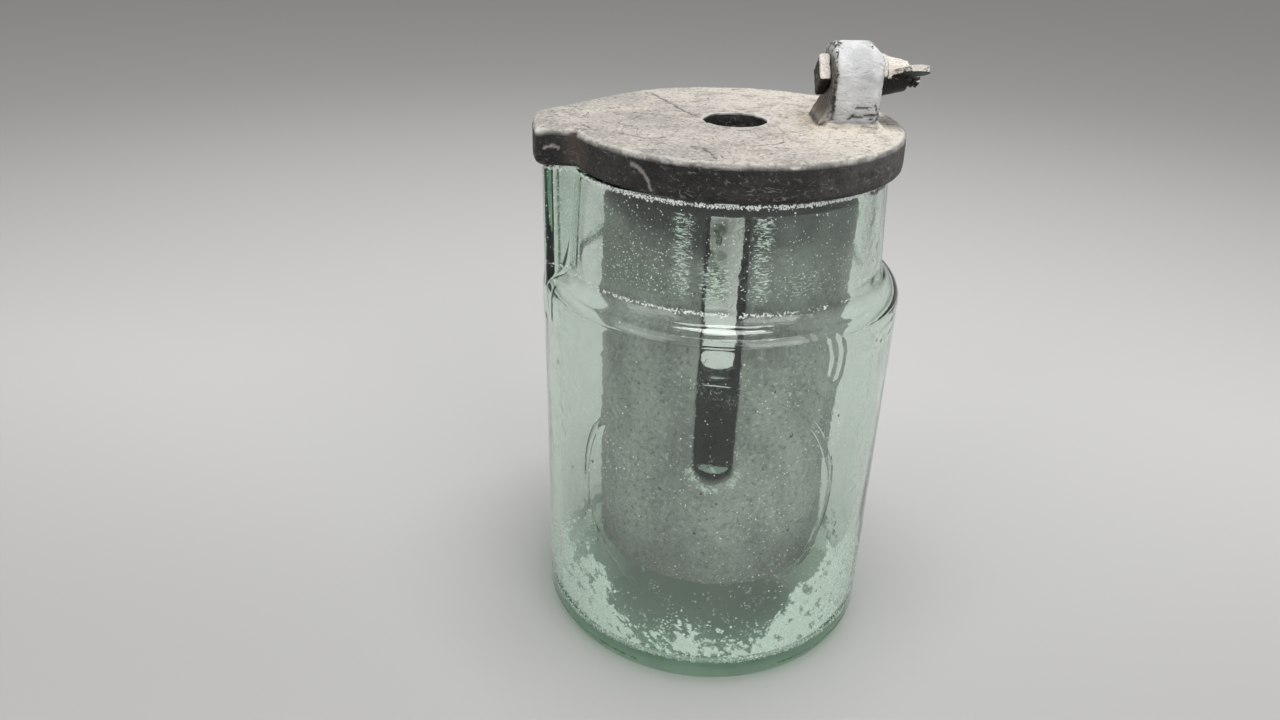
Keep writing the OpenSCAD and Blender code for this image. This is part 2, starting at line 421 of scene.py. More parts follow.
def rise(tree, value, low, high, to_low=0.0, to_high=1.0):
    """The value's smooth rise from low to high, spread over a new range."""
    return put(tree, "ShaderNodeMapRange",
               {"Value": value, "From Min": low, "From Max": high,
                "To Min": to_low, "To Max": to_high},
               interpolation_type="SMOOTHSTEP").outputs[0]


def colour(red, green, blue):
    """A colour as a screen shows it, 0 to 255, as the light it stands for."""
    parts = [c / 255 for c in (red, green, blue)]
    return tuple(c / 12.92 if c < 0.04045 else ((c + 0.055) / 1.055) ** 2.4
                 for c in parts) + (1.0,)


def place_in_mm(tree):
    """The point's place on its piece, in millimetres."""
    where = put(tree, "ShaderNodeTexCoord").outputs["Object"]
    return put(tree, "ShaderNodeVectorMath", {0: where, "Scale": 1000.0},
               operation="SCALE").outputs[0]


def texture(tree, where, scale, detail=4.0, roughness=0.55, distortion=0.0):
    """Smooth random values, about 0 to 1, with that many bumps to a millimetre."""
    return put(tree, "ShaderNodeTexNoise",
               {"Vector": where, "Scale": scale, "Detail": detail,
                "Roughness": roughness, "Distortion": distortion}).outputs["Fac"]


def stretched(tree, where, scale, turn=(0.0, 0.0, 0.0)):
    """The place scaled and turned, so that what is drawn on it runs one way."""
    return put(tree, "ShaderNodeMapping",
               {"Vector": where, "Scale": scale, "Rotation": turn}).outputs[0]


def readings(tree, *names):
    """The numbers that mark() kept under these names."""
    return [put(tree, "ShaderNodeAttribute", attribute_name=name).outputs["Fac"]
            for name in names]


def effect_group(name, inputs, outputs):
    """A shader node group with named sockets. Returns the tree, and its inputs by name."""
    tree = bpy.data.node_groups.new(name, "ShaderNodeTree")
    for label, value in inputs.items():
        kind = "NodeSocketVector" if label == "Place" else "NodeSocketFloat"
        made = tree.interface.new_socket(name=label, in_out="INPUT", socket_type=kind)
        if kind == "NodeSocketFloat":
            made.default_value = value
    for label in outputs:
        tree.interface.new_socket(name=label, in_out="OUTPUT", socket_type="NodeSocketFloat")
    return tree, tree.nodes.new("NodeGroupInput").outputs


def settled_dust():
    """Where dust lies: on what faces up, in uneven patches."""
    tree, given = effect_group("settled_dust", {"Place": None, "Steepest": 0.35,
                               "Level": 0.8, "Patch Scale": 0.1, "Patchiness": 0.3}, ["Mask"])
    up = put(tree, "ShaderNodeTexCoord").outputs["Normal"]
    up = put(tree, "ShaderNodeSeparateXYZ", {0: up}).outputs["Z"]
    patch = texture(tree, given["Place"], given["Patch Scale"], 6.0, 0.62)
    patch = times(tree, minus(tree, patch, 0.5), given["Patchiness"])
    mask = rise(tree, plus(tree, up, patch), given["Steepest"], given["Level"])
    put(tree, "NodeGroupOutput", {"Mask": mask})
    return tree


def pitted_grain():
    """Fine grain with scattered pits, as height, and the pits alone as a mask."""
    tree, given = effect_group("pitted_grain", {"Place": None, "Grain Scale": 1.5,
                               "Pit Scale": 0.6, "Pit Size": 0.25}, ["Height", "Pits"])
    grain = texture(tree, given["Place"], given["Grain Scale"], 8.0, 0.65)
    hole = put(tree, "ShaderNodeTexVoronoi",
               {"Vector": given["Place"], "Scale": given["Pit Scale"]}).outputs["Distance"]
    hollow = rise(tree, hole, given["Pit Size"], 0.0)
    height = minus(tree, grain, times(tree, hollow, 0.8))
    put(tree, "NodeGroupOutput", {"Height": height, "Pits": hollow})
    return tree


def hair_scratches():
    """Thin wandering lines, where a noise passes through its middle."""
    tree, given = effect_group("hair_scratches", {"Place": None, "Scale": 0.12,
                               "Wander": 1.0, "Width": 0.01}, ["Mask"])
    field = texture(tree, given["Place"], given["Scale"], 2.0, 0.5, given["Wander"])
    off = arith(tree, "ABSOLUTE", minus(tree, field, 0.5))
    line = rise(tree, off, given["Width"], 0.0)
    broken = rise(tree, texture(tree, given["Place"], times(
        tree, given["Scale"], 2.3), 3.0), 0.48, 0.58)
    put(tree, "NodeGroupOutput", {"Mask": times(tree, line, broken)})
    return tree


DUST, GRAIN, SCRATCHES = settled_dust(), pitted_grain(), hair_scratches()


def effect(tree, group, inputs):
    """One of the shared effects with its own inputs. Returns its outputs by name."""
    return put(tree, "ShaderNodeGroup", inputs, node_tree=group).outputs


def new_material(name):
    """A material with one Principled shader, its tree and its shader node."""
    material = bpy.data.materials.new(name)
    material.use_nodes = True
    tree = material.node_tree
    return material, tree, tree.nodes["Principled BSDF"]


def relief(tree, shader, height, distance, strength):
    """Puts a height in millimetres on the shader as a bump."""
    bump = put(tree, "ShaderNodeBump", {
        "Height": height, "Distance": distance * MM, "Strength": strength}).outputs[0]
    tree.links.new(bump, shader.inputs["Normal"])


def mould_lines(tree, where):
    """The seam round the mould's blank plate on the front, and the one on the shoulder,
    as thin raised lines."""
    x, y, z = put(tree, "ShaderNodeSeparateXYZ", {0: where}).outputs
    across = plus(tree, *(times(tree, arith(tree, "ARCSINE", arith(
        tree, "DIVIDE", x, side * JAR_R, True)), side * JAR_R) for side in (1, -1)))
    up = minus(tree, z, PLATE_Z)
    away = arith(tree, "SQRT", plus(tree, times(tree, across, across), times(tree, up, up)))
    wander = times(tree, minus(tree, texture(tree, where, 0.05, 2.0), 0.5), 1.6)
    plate, shoulder = (rise(tree, arith(tree, "ABSOLUTE", plus(
        tree, minus(tree, value, at), wander)), 0.45, 0.0)
        for value, at in ((away, PLATE_R), (z, SHOULDER_SEAM_Z)))
    line = most(tree, plate, times(tree, shoulder, 0.6))
    line = times(tree, line, rise(tree, texture(tree, where, 0.07, 3.0), 0.40, 0.60))
    return times(tree, line, arith(tree, "LESS_THAN", y, -5.0))


def jar_glass():
    """Old pale green pressed glass. Its colour comes from its thickness, and rays from
    lamps pass straight through it, so that they reach the carbon inside."""
    material, tree, shader = new_material("jar_glass")
    where = place_in_mm(tree)
    shader.inputs["Transmission Weight"].default_value = 1.0
    shader.inputs["IOR"].default_value = 1.5
    shader.inputs["Base Color"].default_value = (0.985, 1.0, 0.99, 1.0)
    cloud = rise(tree, texture(tree, where, 0.05, 5.0, 0.6), 0.45, 0.75, 0.0, 0.05)
    lines = effect(tree, SCRATCHES, {"Place": where, "Scale": 0.06, "Wander": 1.5,
                                     "Width": 0.004})["Mask"]
    rough = plus(tree, cloud, times(tree, lines, 0.12))
    tree.links.new(plus(tree, rough, 0.012), shader.inputs["Roughness"])
    ripple = texture(tree, stretched(tree, where, (0.05, 0.05, 0.02)), 1.0, 2.0, 0.4)
    small = texture(tree, where, 0.30, 3.0, 0.5)
    height = plus(tree, ripple, times(tree, small, 0.10))
    height = minus(tree, height, times(tree, lines, 0.015))
    height = plus(tree, height, times(tree, mould_lines(tree, where), 0.30))
    relief(tree, shader, height, distance=0.36, strength=0.8)
    path = put(tree, "ShaderNodeLightPath").outputs
    through = put(tree, "ShaderNodeBsdfTransparent", {"Color": (0.965, 0.985, 0.972, 1.0)})
    passing = most(tree, path["Is Shadow Ray"], path["Is Diffuse Ray"])
    both = put(tree, "ShaderNodeMixShader", {0: passing, 1: shader.outputs[0],
                                             2: through.outputs[0]})
    green = put(tree, "ShaderNodeVolumeAbsorption",
                {"Color": (0.35, 0.67, 0.455, 1.0), "Density": 41.0})
    end = tree.nodes["Material Output"]
    tree.links.new(both.outputs[0], end.inputs["Surface"])
    tree.links.new(green.outputs[0], end.inputs["Volume"])
    return material


def white_salt():
    """Dry crystals, white with a faint cool tint."""
    material, tree, shader = new_material("white_salt")
    where = place_in_mm(tree)
    tint = texture(tree, where, 0.7, 3.0)
    tree.links.new(blend_colour(tree, tint, colour(240, 245, 242), colour(253, 254, 253)),
                   shader.inputs["Base Color"])
    tree.links.new(rise(tree, tint, 0.3, 0.7, 0.45, 0.8), shader.inputs["Roughness"])
    relief(tree, shader, texture(tree, where, 4.0, 4.0), distance=0.1, strength=0.6)
    return material


def salt_haze():
    """A thin dried film. The mark called film says where it is a crust, the one called streaks
    where it was wiped, and the one called veil how smoky the glass is. Where the veil runs high
    the film turns deep olive, which behind the slots is painted shade."""
    material, tree, shader = new_material("salt_haze")
    where = place_in_mm(tree)
    flecks = texture(tree, where, 1.6, 5.0, 0.75)
    ripples = texture(tree, stretched(tree, where, (0.7, 0.7, 2.4)), 1.0, 5.0, 0.72, 0.5)
    clouds = texture(tree, where, 0.09, 5.0, 0.6)
    film, streaks, smoke = readings(tree, "film", "streaks", "veil")
    crust = rise(tree, plus(tree, flecks, times(tree, film, 0.30)), 0.58, 0.68)
    crust = times(tree, times(tree, crust, 0.97), rise(tree, film, 0.02, 0.25))
    wiped = rise(tree, plus(tree, ripples, times(tree, streaks, 0.10)), 0.54, 0.66, 0.0, 0.90)
    wiped = times(tree, wiped, rise(tree, streaks, 0.0, 0.6))
    cells = put(tree, "ShaderNodeTexVoronoi", {"Vector": where, "Scale": 0.55}).outputs
    own = put(tree, "ShaderNodeSeparateColor", {0: cells["Color"]}).outputs[0]
    speck = arith(tree, "LESS_THAN", cells["Distance"], times(tree, own, 0.11))
    veil = arith(tree, "MULTIPLY", rise(tree, clouds, 0.35, 0.7, 0.04, 0.10), smoke, True)
    tree.links.new(most(tree, most(tree, crust, wiped), most(
        tree, times(tree, speck, 0.8), veil)), shader.inputs["Alpha"])
    dried = blend_colour(tree, flecks, colour(234, 241, 236), colour(252, 254, 252))
    # A high veil turns the film deep olive; behind the slots that is painted shade
    tree.links.new(blend_colour(tree, rise(tree, smoke, 1.0, 6.0), dried,
                                colour(108, 126, 88)), shader.inputs["Base Color"])
    tree.links.new(rise(tree, flecks, 0.3, 0.7, 0.55, 0.9), shader.inputs["Roughness"])
    relief(tree, shader, flecks, distance=0.15, strength=0.5)
    return material


def cover_carbon():
    """Moulded carbon, near black on its sides and under a greige dust on top, with a cool grey
    lug.
    It carries painted light and shade: sides paler to the right, pale lit upper edges, shaded
    corners, and a shaded left side and heel on the lug."""
    material, tree, shader = new_material("cover_carbon")
    where = place_in_mm(tree)
    edge, corner, lug, worn, gouge, warm = readings(
        tree, "edge", "corner", "lug", "worn", "gouge", "warm")
    stain, pocked, lighter_to_right, cracked, settled = readings(
        tree, "stain", "pocked", "lighter_to_right", "cracked", "settled")
    grain = effect(tree, GRAIN, {"Place": where, "Grain Scale": 1.3, "Pit Scale": 0.45,
                                 "Pit Size": 0.22})
    fine = texture(tree, where, 3.5, 6.0, 0.7)
    speck = texture(tree, where, 0.85, 5.0, 0.72)
    broad = texture(tree, where, 0.06, 6.0, 0.62)
    patches = texture(tree, where, 0.16, 8.0, 0.72)
    hairs, splits, scratches, scuffs = (effect(tree, SCRATCHES, {
        "Place": stretched(tree, where, stretch, turn), "Scale": scale, "Wander": wander,
        "Width": width})["Mask"] for stretch, turn, scale, wander, width in (
            ((1.6, 0.6, 1.5), (0, 0, -0.4), 0.13, 0.8, 0.010),
            ((0.35, 0.35, 1.6), (0, 0, 0), 0.42, 1.0, 0.035),
            ((0.5, 1.5, 1.5), (0, 0, 0.5), 0.11, 0.6, 0.012),
            ((0.5, 0.5, 1.5), (0.3, 0, 0), 0.22, 0.5, 0.014)))
    dust = effect(tree, DUST, {"Place": where, "Steepest": 0.42, "Level": 0.86,
                               "Patch Scale": 0.25, "Patchiness": 0.35})["Mask"]

    # Both coats turn paler towards the right; on the sides this is painted light from the right
    black = coats(
        tree, (0.009, 0.0085, 0.008, 1),
        (rise(tree, broad, 0.35, 0.65), (0.032, 0.030, 0.028, 1)),
        (times(tree, lighter_to_right, 0.42), (0.22, 0.21, 0.20, 1)),
        (times(tree, scuffs, 0.5), (0.42, 0.40, 0.38, 1)),
        (rise(tree, speck, 0.57, 0.68, 0.0, 0.65), (0.26, 0.25, 0.24, 1)),
        (rise(tree, speck, 0.46, 0.36, 0.0, 0.8), (0.006, 0.006, 0.006, 1)),
        (worn, (0.46, 0.44, 0.41, 1)))
    greige = coats(
        tree, colour(172, 168, 162),
        (rise(tree, broad, 0.32, 0.68), colour(212, 205, 195)),
        (times(tree, lighter_to_right, 0.85), colour(240, 232, 220)),
        (warm, colour(222, 208, 186)),
        (rise(tree, patches, 0.50, 0.64, 0.0, 0.55), colour(150, 144, 137)),
        (rise(tree, speck, 0.47, 0.36, 0.0, 0.65), colour(236, 231, 223)),
        (rise(tree, speck, 0.555, 0.63, 0.0, 0.72), colour(104, 98, 92)),
        (times(tree, hairs, 0.8), colour(70, 66, 62)),
        (times(tree, scratches, 0.75), colour(84, 79, 74)),
        (times(tree, grain["Pits"], 0.6), colour(92, 87, 82)),
        (times(tree, gouge, 0.8), colour(70, 65, 61)))
    cool = coats(
        tree, colour(206, 208, 208),
        (rise(tree, texture(tree, where, 0.15, 5.0), 0.35, 0.65), colour(236, 236, 236)),
        (rise(tree, fine, 0.58, 0.74, 0.0, 0.35), colour(120, 118, 116)),
        (gouge, colour(30, 28, 27)),
        (times(tree, splits, cracked), colour(34, 31, 29)))
    pocks = rise(tree, plus(tree, speck, times(tree, pocked, 0.22)), 0.62, 0.72)
    body = coats(
        tree, black,
        (most(tree, dust, settled), greige),
        # Dark brown: a stain on the cover's left side, and painted shade with rust streaks on
        # the lug's left side and heel
        (times(tree, stain, 0.85), (0.13, 0.105, 0.085, 1)),
        (lug, cool),
        (times(tree, pocks, rise(tree, pocked, 0.1, 0.4)), (0.030, 0.026, 0.023, 1)),
        # Pale upper edges: wear and a painted highlight
        (times(tree, edge, 0.9), colour(232, 229, 224)),
        # Painted shade in the concave corners, such as under the bolt head
        (times(tree, corner, 0.5), (0.10, 0.085, 0.07, 1)))
    tree.links.new(body, shader.inputs["Base Color"])
    tree.links.new(rise(tree, plus(tree, dust, fine), 0.4, 1.3, 0.46, 0.92),
                   shader.inputs["Roughness"])
    shader.inputs["Specular IOR Level"].default_value = 0.35
    wrinkled = texture(tree, stretched(tree, where, (0.5, 0.5, 0.9)), 1.0, 6.0, 0.6, 0.8)
    height = minus(tree, grain["Height"], times(tree, scratches, 0.6))
    height = plus(tree, height, times(tree, fine, 0.5))
    height = plus(tree, height, times(tree, wrinkled, 1.6))
    relief(tree, shader, height, distance=0.42, strength=0.9)
    return material


def cylinder_carbon():
    """Matt grey carbon with white salts along its slots and foot, and near black painted shade.
    """
    material, tree, shader = new_material("cylinder_carbon")
    where = place_in_mm(tree)
    crust, shade, silt = readings(tree, "crust", "shade", "sediment")
    grain = effect(tree, GRAIN, {"Place": where, "Grain Scale": 0.9, "Pit Scale": 0.3,
                                 "Pit Size": 0.2})
    broad = texture(tree, stretched(tree, where, (1, 1, 0.5)), 0.06, 6.0, 0.6)
    fine = texture(tree, where, 0.70, 6.0, 0.72)
    white = rise(tree, plus(tree, fine, times(tree, crust, 0.26)), 0.66, 0.84)
    white = times(tree, white, rise(tree, crust, 0.05, 0.3))
    sediment = rise(tree, plus(tree, texture(tree, where, 1.5, 4.0, 0.7), times(
        tree, silt, 0.14)), 0.67, 0.78, 0.0, 0.8)
    grey = coats(
        tree, (0.215, 0.215, 0.205, 1),
        (rise(tree, broad, 0.3, 0.7), (0.42, 0.42, 0.40, 1)),
        (rise(tree, fine, 0.52, 0.66, 0.0, 0.75), (0.09, 0.09, 0.087, 1)),
        (rise(tree, fine, 0.45, 0.34, 0.0, 0.65), (0.60, 0.61, 0.59, 1)),
        # Painted shade, near black: under the cover, inside the bore and towards the foot
        (shade, (0.018, 0.018, 0.017, 1)),
        (white, (0.80, 0.83, 0.80, 1)),
        (sediment, (0.42, 0.375, 0.30, 1)))
    tree.links.new(grey, shader.inputs["Base Color"])
    tree.links.new(rise(tree, fine, 0.3, 0.7, 0.7, 0.95), shader.inputs["Roughness"])
    relief(tree, shader, plus(tree, grain["Height"], times(tree, white, 0.8)),
           distance=0.3, strength=0.8)
    return material


def terminal_brass():
    """Old brass gone black, its base made deeper still as painted shade, with pale dust and
    corrosion on what faces up.
    """
    material, tree, shader = new_material("terminal_brass")
    where = place_in_mm(tree)
    (edge,) = readings(tree, "edge")
    grain = effect(tree, GRAIN, {"Place": where, "Grain Scale": 3.5, "Pit Scale": 1.5,
                                 "Pit Size": 0.25})
    fine = texture(tree, where, 1.7, 6.0, 0.72)
    dust = effect(tree, DUST, {"Place": where, "Steepest": 0.03, "Level": 0.25,
                               "Patch Scale": 0.9, "Patchiness": 0.35})["Mask"]
    # Near black: the tarnish, made darker still as painted shade on all that the dust leaves
    # bare
    dark = coats(
        tree, (0.005, 0.0048, 0.0045, 1),
        (rise(tree, fine, 0.45, 0.65), (0.030, 0.026, 0.022, 1)),
        (rise(tree, fine, 0.62, 0.72, 0.0, 0.6), (0.30, 0.27, 0.24, 1)))
    cream = coats(
        tree, colour(200, 191, 180),
        (rise(tree, fine, 0.36, 0.60), colour(246, 240, 232)),
        (rise(tree, fine, 0.64, 0.72, 0.0, 0.55), colour(96, 86, 76)))
    body = coats(
        tree, dark,
        (dust, cream),
        (times(tree, edge, rise(tree, fine, 0.45, 0.60, 0.0, 0.18)), (0.50, 0.46, 0.40, 1)))
    tree.links.new(body, shader.inputs["Base Color"])
    shader.inputs["Specular IOR Level"].default_value = 0.25
    tree.links.new(rise(tree, plus(tree, dust, fine), 0.4, 1.2, 0.42, 0.88),
                   shader.inputs["Roughness"])
    relief(tree, shader, plus(tree, grain["Height"], fine), distance=0.20, strength=0.9)
    return material


GLASS, SALT, HAZE = jar_glass(), white_salt(), salt_haze()
COVER, CYLINDER, BRASS = cover_carbon(), cylinder_carbon(), terminal_brass()


# Geometry node trees

def geometry_tree(name, inputs):
    """A geometry node tree with a geometry output and named inputs. Returns the tree,
    its input node and each input's identifier."""
    tree = bpy.data.node_groups.new(name, "GeometryNodeTree")
    tree.interface.new_socket(name="Geometry", in_out="INPUT",
                              socket_type="NodeSocketGeometry")
    known = {}
    for label, kind in inputs.items():
        made = tree.interface.new_socket(name=label, in_out="INPUT",
                                         socket_type="NodeSocket" + kind)
        known[label] = made.identifier
    tree.interface.new_socket(name="Geometry", in_out="OUTPUT",
                              socket_type="NodeSocketGeometry")
    return tree, tree.nodes.new("NodeGroupInput").outputs, known


def finish_tree(tree, shape, material):
    """Ends a geometry node tree: real geometry with its material."""
    real = put(tree, "GeometryNodeRealizeInstances", {0: shape}).outputs[0]
    done = put(tree, "GeometryNodeSetMaterial", {"Geometry": real, "Material": material})
    put(tree, "NodeGroupOutput", {0: done.outputs[0]})


def scattered_tree():
    """Small irregular lumps on a surface, where its mark called growth is high."""
    tree, given, known = geometry_tree("scattered_lumps", {
        "Per Square Metre": "Float", "Seed": "Int", "Smallest": "Float", "Largest": "Float",
        "Flatness": "Float", "Facets": "Int", "Material": "Material"})
    growth = put(tree, "GeometryNodeInputNamedAttribute", {"Name": "growth"},
                 data_type="FLOAT").outputs[0]
    dots = put(tree, "GeometryNodeDistributePointsOnFaces",
               {"Mesh": given["Geometry"], "Density": times(
                   tree, growth, given["Per Square Metre"]),
                "Seed": given["Seed"]}, distribute_method="RANDOM")
    size = put(tree, "FunctionNodeRandomValue",
               {2: given["Smallest"], 3: given["Largest"], "Seed": given["Seed"]},
               data_type="FLOAT").outputs[1]
    shape = put(tree, "FunctionNodeRandomValue",
                {0: (0.6, 0.6, 0.6), 1: (1.3, 1.3, 1.0), "Seed": plus(
                    tree, given["Seed"], 1.0)}, data_type="FLOAT_VECTOR").outputs[0]
    flat = put(tree, "ShaderNodeCombineXYZ", {0: 1.0, 1: 1.0, 2: given["Flatness"]})
    shape = put(tree, "ShaderNodeVectorMath", {0: shape, 1: flat.outputs[0]},
                operation="MULTIPLY").outputs[0]
    shape = put(tree, "ShaderNodeVectorMath", {0: shape, "Scale": size},
                operation="SCALE").outputs[0]
    spin = put(tree, "FunctionNodeRandomValue",
               {0: (0, 0, 0), 1: (0.5, 0.5, 6.283), "Seed": plus(
                   tree, given["Seed"], 2.0)}, data_type="FLOAT_VECTOR").outputs[0]
    turn = put(tree, "FunctionNodeRotateRotation",
               {"Rotation": dots.outputs["Rotation"], "Rotate By": spin},
               rotation_space="LOCAL").outputs[0]
    lump = put(tree, "GeometryNodeMeshIcoSphere",
               {"Radius": 1.0, "Subdivisions": given["Facets"]}).outputs["Mesh"]
    many = put(tree, "GeometryNodeInstanceOnPoints",
               {"Points": dots.outputs["Points"], "Instance": lump, "Rotation": turn,
                "Scale": shape}).outputs[0]
    finish_tree(tree, many, given["Material"])
    return tree, known


def thread_tree():
    """A screw thread: one ridge that winds up the Z axis."""
    tree, given, known = geometry_tree("screw_thread", {
        "Crest Radius": "Float", "Pitch": "Float", "Turns": "Float", "Material": "Material"})
    depth = times(tree, given["Pitch"], 0.5)
    middle = minus(tree, given["Crest Radius"], depth)
    helix = put(tree, "GeometryNodeCurveSpiral",
                {"Resolution": 40, "Rotations": given["Turns"], "Start Radius": middle,
                 "End Radius": middle, "Height": times(
                     tree, given["Pitch"], given["Turns"])}).outputs[0]
    upright = put(tree, "GeometryNodeSetCurveNormal", {"Curve": helix}, mode="Z_UP")
    ridge = put(tree, "GeometryNodeCurvePrimitiveQuadrilateral",
                {"Width": given["Pitch"], "Bottom Height": depth, "Top Height": depth},
                mode="KITE")
    swept = put(tree, "GeometryNodeCurveToMesh",
                {"Curve": upright.outputs[0], "Profile Curve": ridge.outputs[0],
                 "Fill Caps": True}).outputs[0]
    finish_tree(tree, swept, given["Material"])
    return tree, known


def grown(source, tree_and_inputs, values, name):
    """What a geometry node tree makes from the source, as a plain mesh object."""
    tree, known = tree_and_inputs
    grow = source.modifiers.new("grow", "NODES")
    grow.node_group = tree
    for label, value in values.items():
        grow[known[label]] = value
    return made_plain(source, name)


SCATTERED, THREAD = scattered_tree(), thread_tree()


# Glass jar

def lip_reach(turn, inset):
    """Distance from the jar's axis to the lip's wall in each direction, or 0."""
    s, far = np.sin(turn), np.cos(turn - math.radians(LIP_FAR_TURN))
    near_wall = np.where(s < -0.02, (LIP_NEAR - inset) / np.maximum(-s, 0.02), 9e3)
    far_wall = np.where(far > 0.02, (LIP_FAR - inset) / np.maximum(far, 0.02), 9e3)
    corner = LIP_CORNER if inset == 0 else LIP_CORNER_INSIDE
    reach = soft_least(soft_least(np.full_like(s, LIP_R - inset), near_wall, corner),
                       far_wall, corner)
    return np.where(np.cos(turn) < -0.5, reach, 0.0)


def jar_directions():
    """Angles round the jar, closer together at the lip's corners and at the front."""
    spans = ((0, 90, 1.6), (90, 150, 1.5), (150, 196, 0.9), (196, 210, 0.4),
             (210, 228, 1.2), (228, 312, 0.65), (312, 360, 1.6))
    return np.radians(np.concatenate([
        np.linspace(a, b, round((b - a) / step), endpoint=False) for a, b, step in spans]))


def jar_outside():
    """Profile from the middle of the base up to the rim: radius and height."""
    return np.vstack([
        [[6.0, 0.0]], run(6, 0, CONTACT_R, 0, 4), run(CONTACT_R, 0, RAISED_R, HEEL_LIFT, 3),
        run(RAISED_R, HEEL_LIFT, JAR_R - HEEL_R + 2.2, HEEL_LIFT, 4),
        arc(JAR_R - HEEL_R, HEEL_R, HEEL_R, -67.0, 0, 8),
        run(JAR_R, HEEL_R, JAR_R, SHOULDER_Z, 100),
        arc(SHOULDER_X, SHOULDER_Z, SHOULDER_R, 0, SHOULDER_TURN, 10),
        arc(HOLLOW_X, NECK_Z, HOLLOW_R, 180 + SHOULDER_TURN, 180, 7),
        run(NECK_FOOT_R, NECK_Z, NECK_R - RIM_IN, JAR_H - RIM_ROUND, 18),
        arc(NECK_R - RIM_IN - RIM_ROUND, JAR_H - RIM_ROUND, RIM_ROUND, 0, 90, 5)])


def jar_inside():
    """Profile from the rim down to the middle of the floor."""
    throat = NECK_R - WALL
    return np.vstack([
        [[throat + RIM_ROUND - 0.2, JAR_H]],
        arc(throat + RIM_ROUND - 0.2, JAR_H - RIM_ROUND, RIM_ROUND - 0.2, 90, 180, 5),
        run(throat, JAR_H - RIM_ROUND, NECK_FOOT_R - WALL, NECK_Z, 10),
        arc(HOLLOW_X, NECK_Z, HOLLOW_R + WALL, 180, 180 + SHOULDER_TURN, 6),
        arc(SHOULDER_X, SHOULDER_Z, SHOULDER_R - WALL, SHOULDER_TURN, 0, 4),
        run(JAR_R - WALL, SHOULDER_Z, JAR_R - WALL, FLOOR_T + FLOOR_FILLET, 44),
        arc(JAR_R - WALL - FLOOR_FILLET, FLOOR_T + FLOOR_FILLET, FLOOR_FILLET, 0, -90, 5),
        run(JAR_R - WALL - FLOOR_FILLET, FLOOR_T, 4, FLOOR_T, 12)])


def lip_profile(profile, turn, inset, side):
    """Radius of every point of a wall: the profile, pushed out where the lip is."""
    rim = np.clip(profile[:, 1] - (JAR_H - RIM_ROUND), 0, RIM_ROUND)
    rounding = RIM_ROUND - np.sqrt(np.maximum(RIM_ROUND ** 2 - rim ** 2, 0))
    lip = lip_reach(turn, inset)[None, :] - side * rounding[:, None]
    above = step_up(profile[:, 1], SHOULDER_Z - SHOULDER_R - 3, SHOULDER_Z - SHOULDER_R)
    lip = np.where(above[:, None] > 0, lip, 0)
    plain = np.repeat(profile[:, :1], len(turn), axis=1)
    return np.where(lip > 20, soft_most(plain, lip, LIP_BLEND), plain)


def jar_wall(profile, turn, wall):
    """Points of one wall, made wavy into the glass, with their radii and directions."""
    inset, side, depth, seed = wall
    radius = lip_profile(profile, turn, inset, side)
    height = np.repeat(profile[:, 1:], len(turn), axis=1)
    points = np.stack([radius * np.cos(turn), radius * np.sin(turn), height], -1)
    flat = points.reshape(-1, 3)
    slow = fractal(flat * [1, 1, 0.6], 34, seed, 2)
    quick = fractal(flat * [1, 1, 0.8], 11, seed + 10, 2) * 0.10
    dip = depth * np.clip(0.5 + 0.5 * (slow + quick), 0, 1.2)
    outward = np.stack([np.cos(turn), np.sin(turn)], -1)
    outward = np.tile(outward, (len(profile), 1))
    fade = step_up(radius.reshape(-1), 20, 40)
    flat[:, :2] -= side * outward * (dip * fade)[:, None]
    return flat, radius.reshape(-1), outward


def plate_seam(points):
    """The faint round seam that the mould's blank plate left on the front."""
    across = np.radians(round_axis(points) - FRONT) * JAR_R
    away = np.hypot(across, points[:, 2] - PLATE_Z)
    ragged = 0.75 + 0.25 * noise(points, 12, 61)
    return np.where(np.abs(across) < 60, bump_at(away, PLATE_R, 0.9), 0) * ragged


def glass_cord(points):
    """A thick curling thread of glass under the neck, right of the middle."""
    flat = np.stack([np.radians(round_axis(points) - FRONT) * JAR_R, points[:, 2]], 1)
    away = from_line(flat, CORD_LINE)
    beside = 0.7 * bump_at(away, 3.2, 0.9) * (points[:, 2] < CORD_BESIDE_Z)
    return np.maximum(bump_at(away, 0, 0.9), beside)


def build_jar():
    """Both walls of the jar as one closed skin, with the bubbles between them."""
    turn = jar_directions()
    outside, inside = jar_outside(), jar_inside()
    outer, radius, outward = jar_wall(outside, turn, OUTER_WALL)
    seam = np.maximum(plate_seam(outer) * 0.10, glass_cord(outer) * 0.26)
    shoulder = bump_at(outer[:, 2], SHOULDER_LINE_Z, 0.7) * 0.10 * step_up(radius, 53, 54.5)
    outer[:, :2] += outward * (seam + shoulder - SET_IN)[:, None] * (radius > 40)[:, None]
    inner, _, _ = jar_wall(inside, turn, INNER_WALL)
    points = np.vstack([outer, inner])
    shell = close_ends(points, len(outside) + len(inside), len(turn), 0.0, FLOOR_T)
    return joined(shell, *jar_bubbles())


def jar_bubbles():
    """Seeds in the glass: small hollows between the two walls, with their faces turned
    into the hollow."""
    draw = np.random.default_rng(5)
    form = bmesh.new()
    bmesh.ops.create_icosphere(form, subdivisions=2, radius=1.0)
    ball = np.array([v.co for v in form.verts])
    faces = [[v.index for v in reversed(f.verts)] for f in form.faces]
    form.free()
    places = [(269.2, 146.1, 0.85), (259.5, 148.8, 0.5)]
    places += [(draw.uniform(200, 340), draw.uniform(14, 112), draw.uniform(0.16, 0.5))
               for _ in range(BUBBLES)]
    bubbles = []
    for turn, height, size in places:
        middle = (NECK_R if height > NECK_Z else JAR_R) - WALL / 2 - 0.2
        angle = math.radians(turn)
        stretch = np.array([1, 1, draw.uniform(1.0, 1.9)]) * size
        centre = [middle * math.cos(angle), middle * math.sin(angle), height]
        bubbles.append((ball * stretch + centre, faces))
    return bubbles


# Salts on the jar and on the carbon

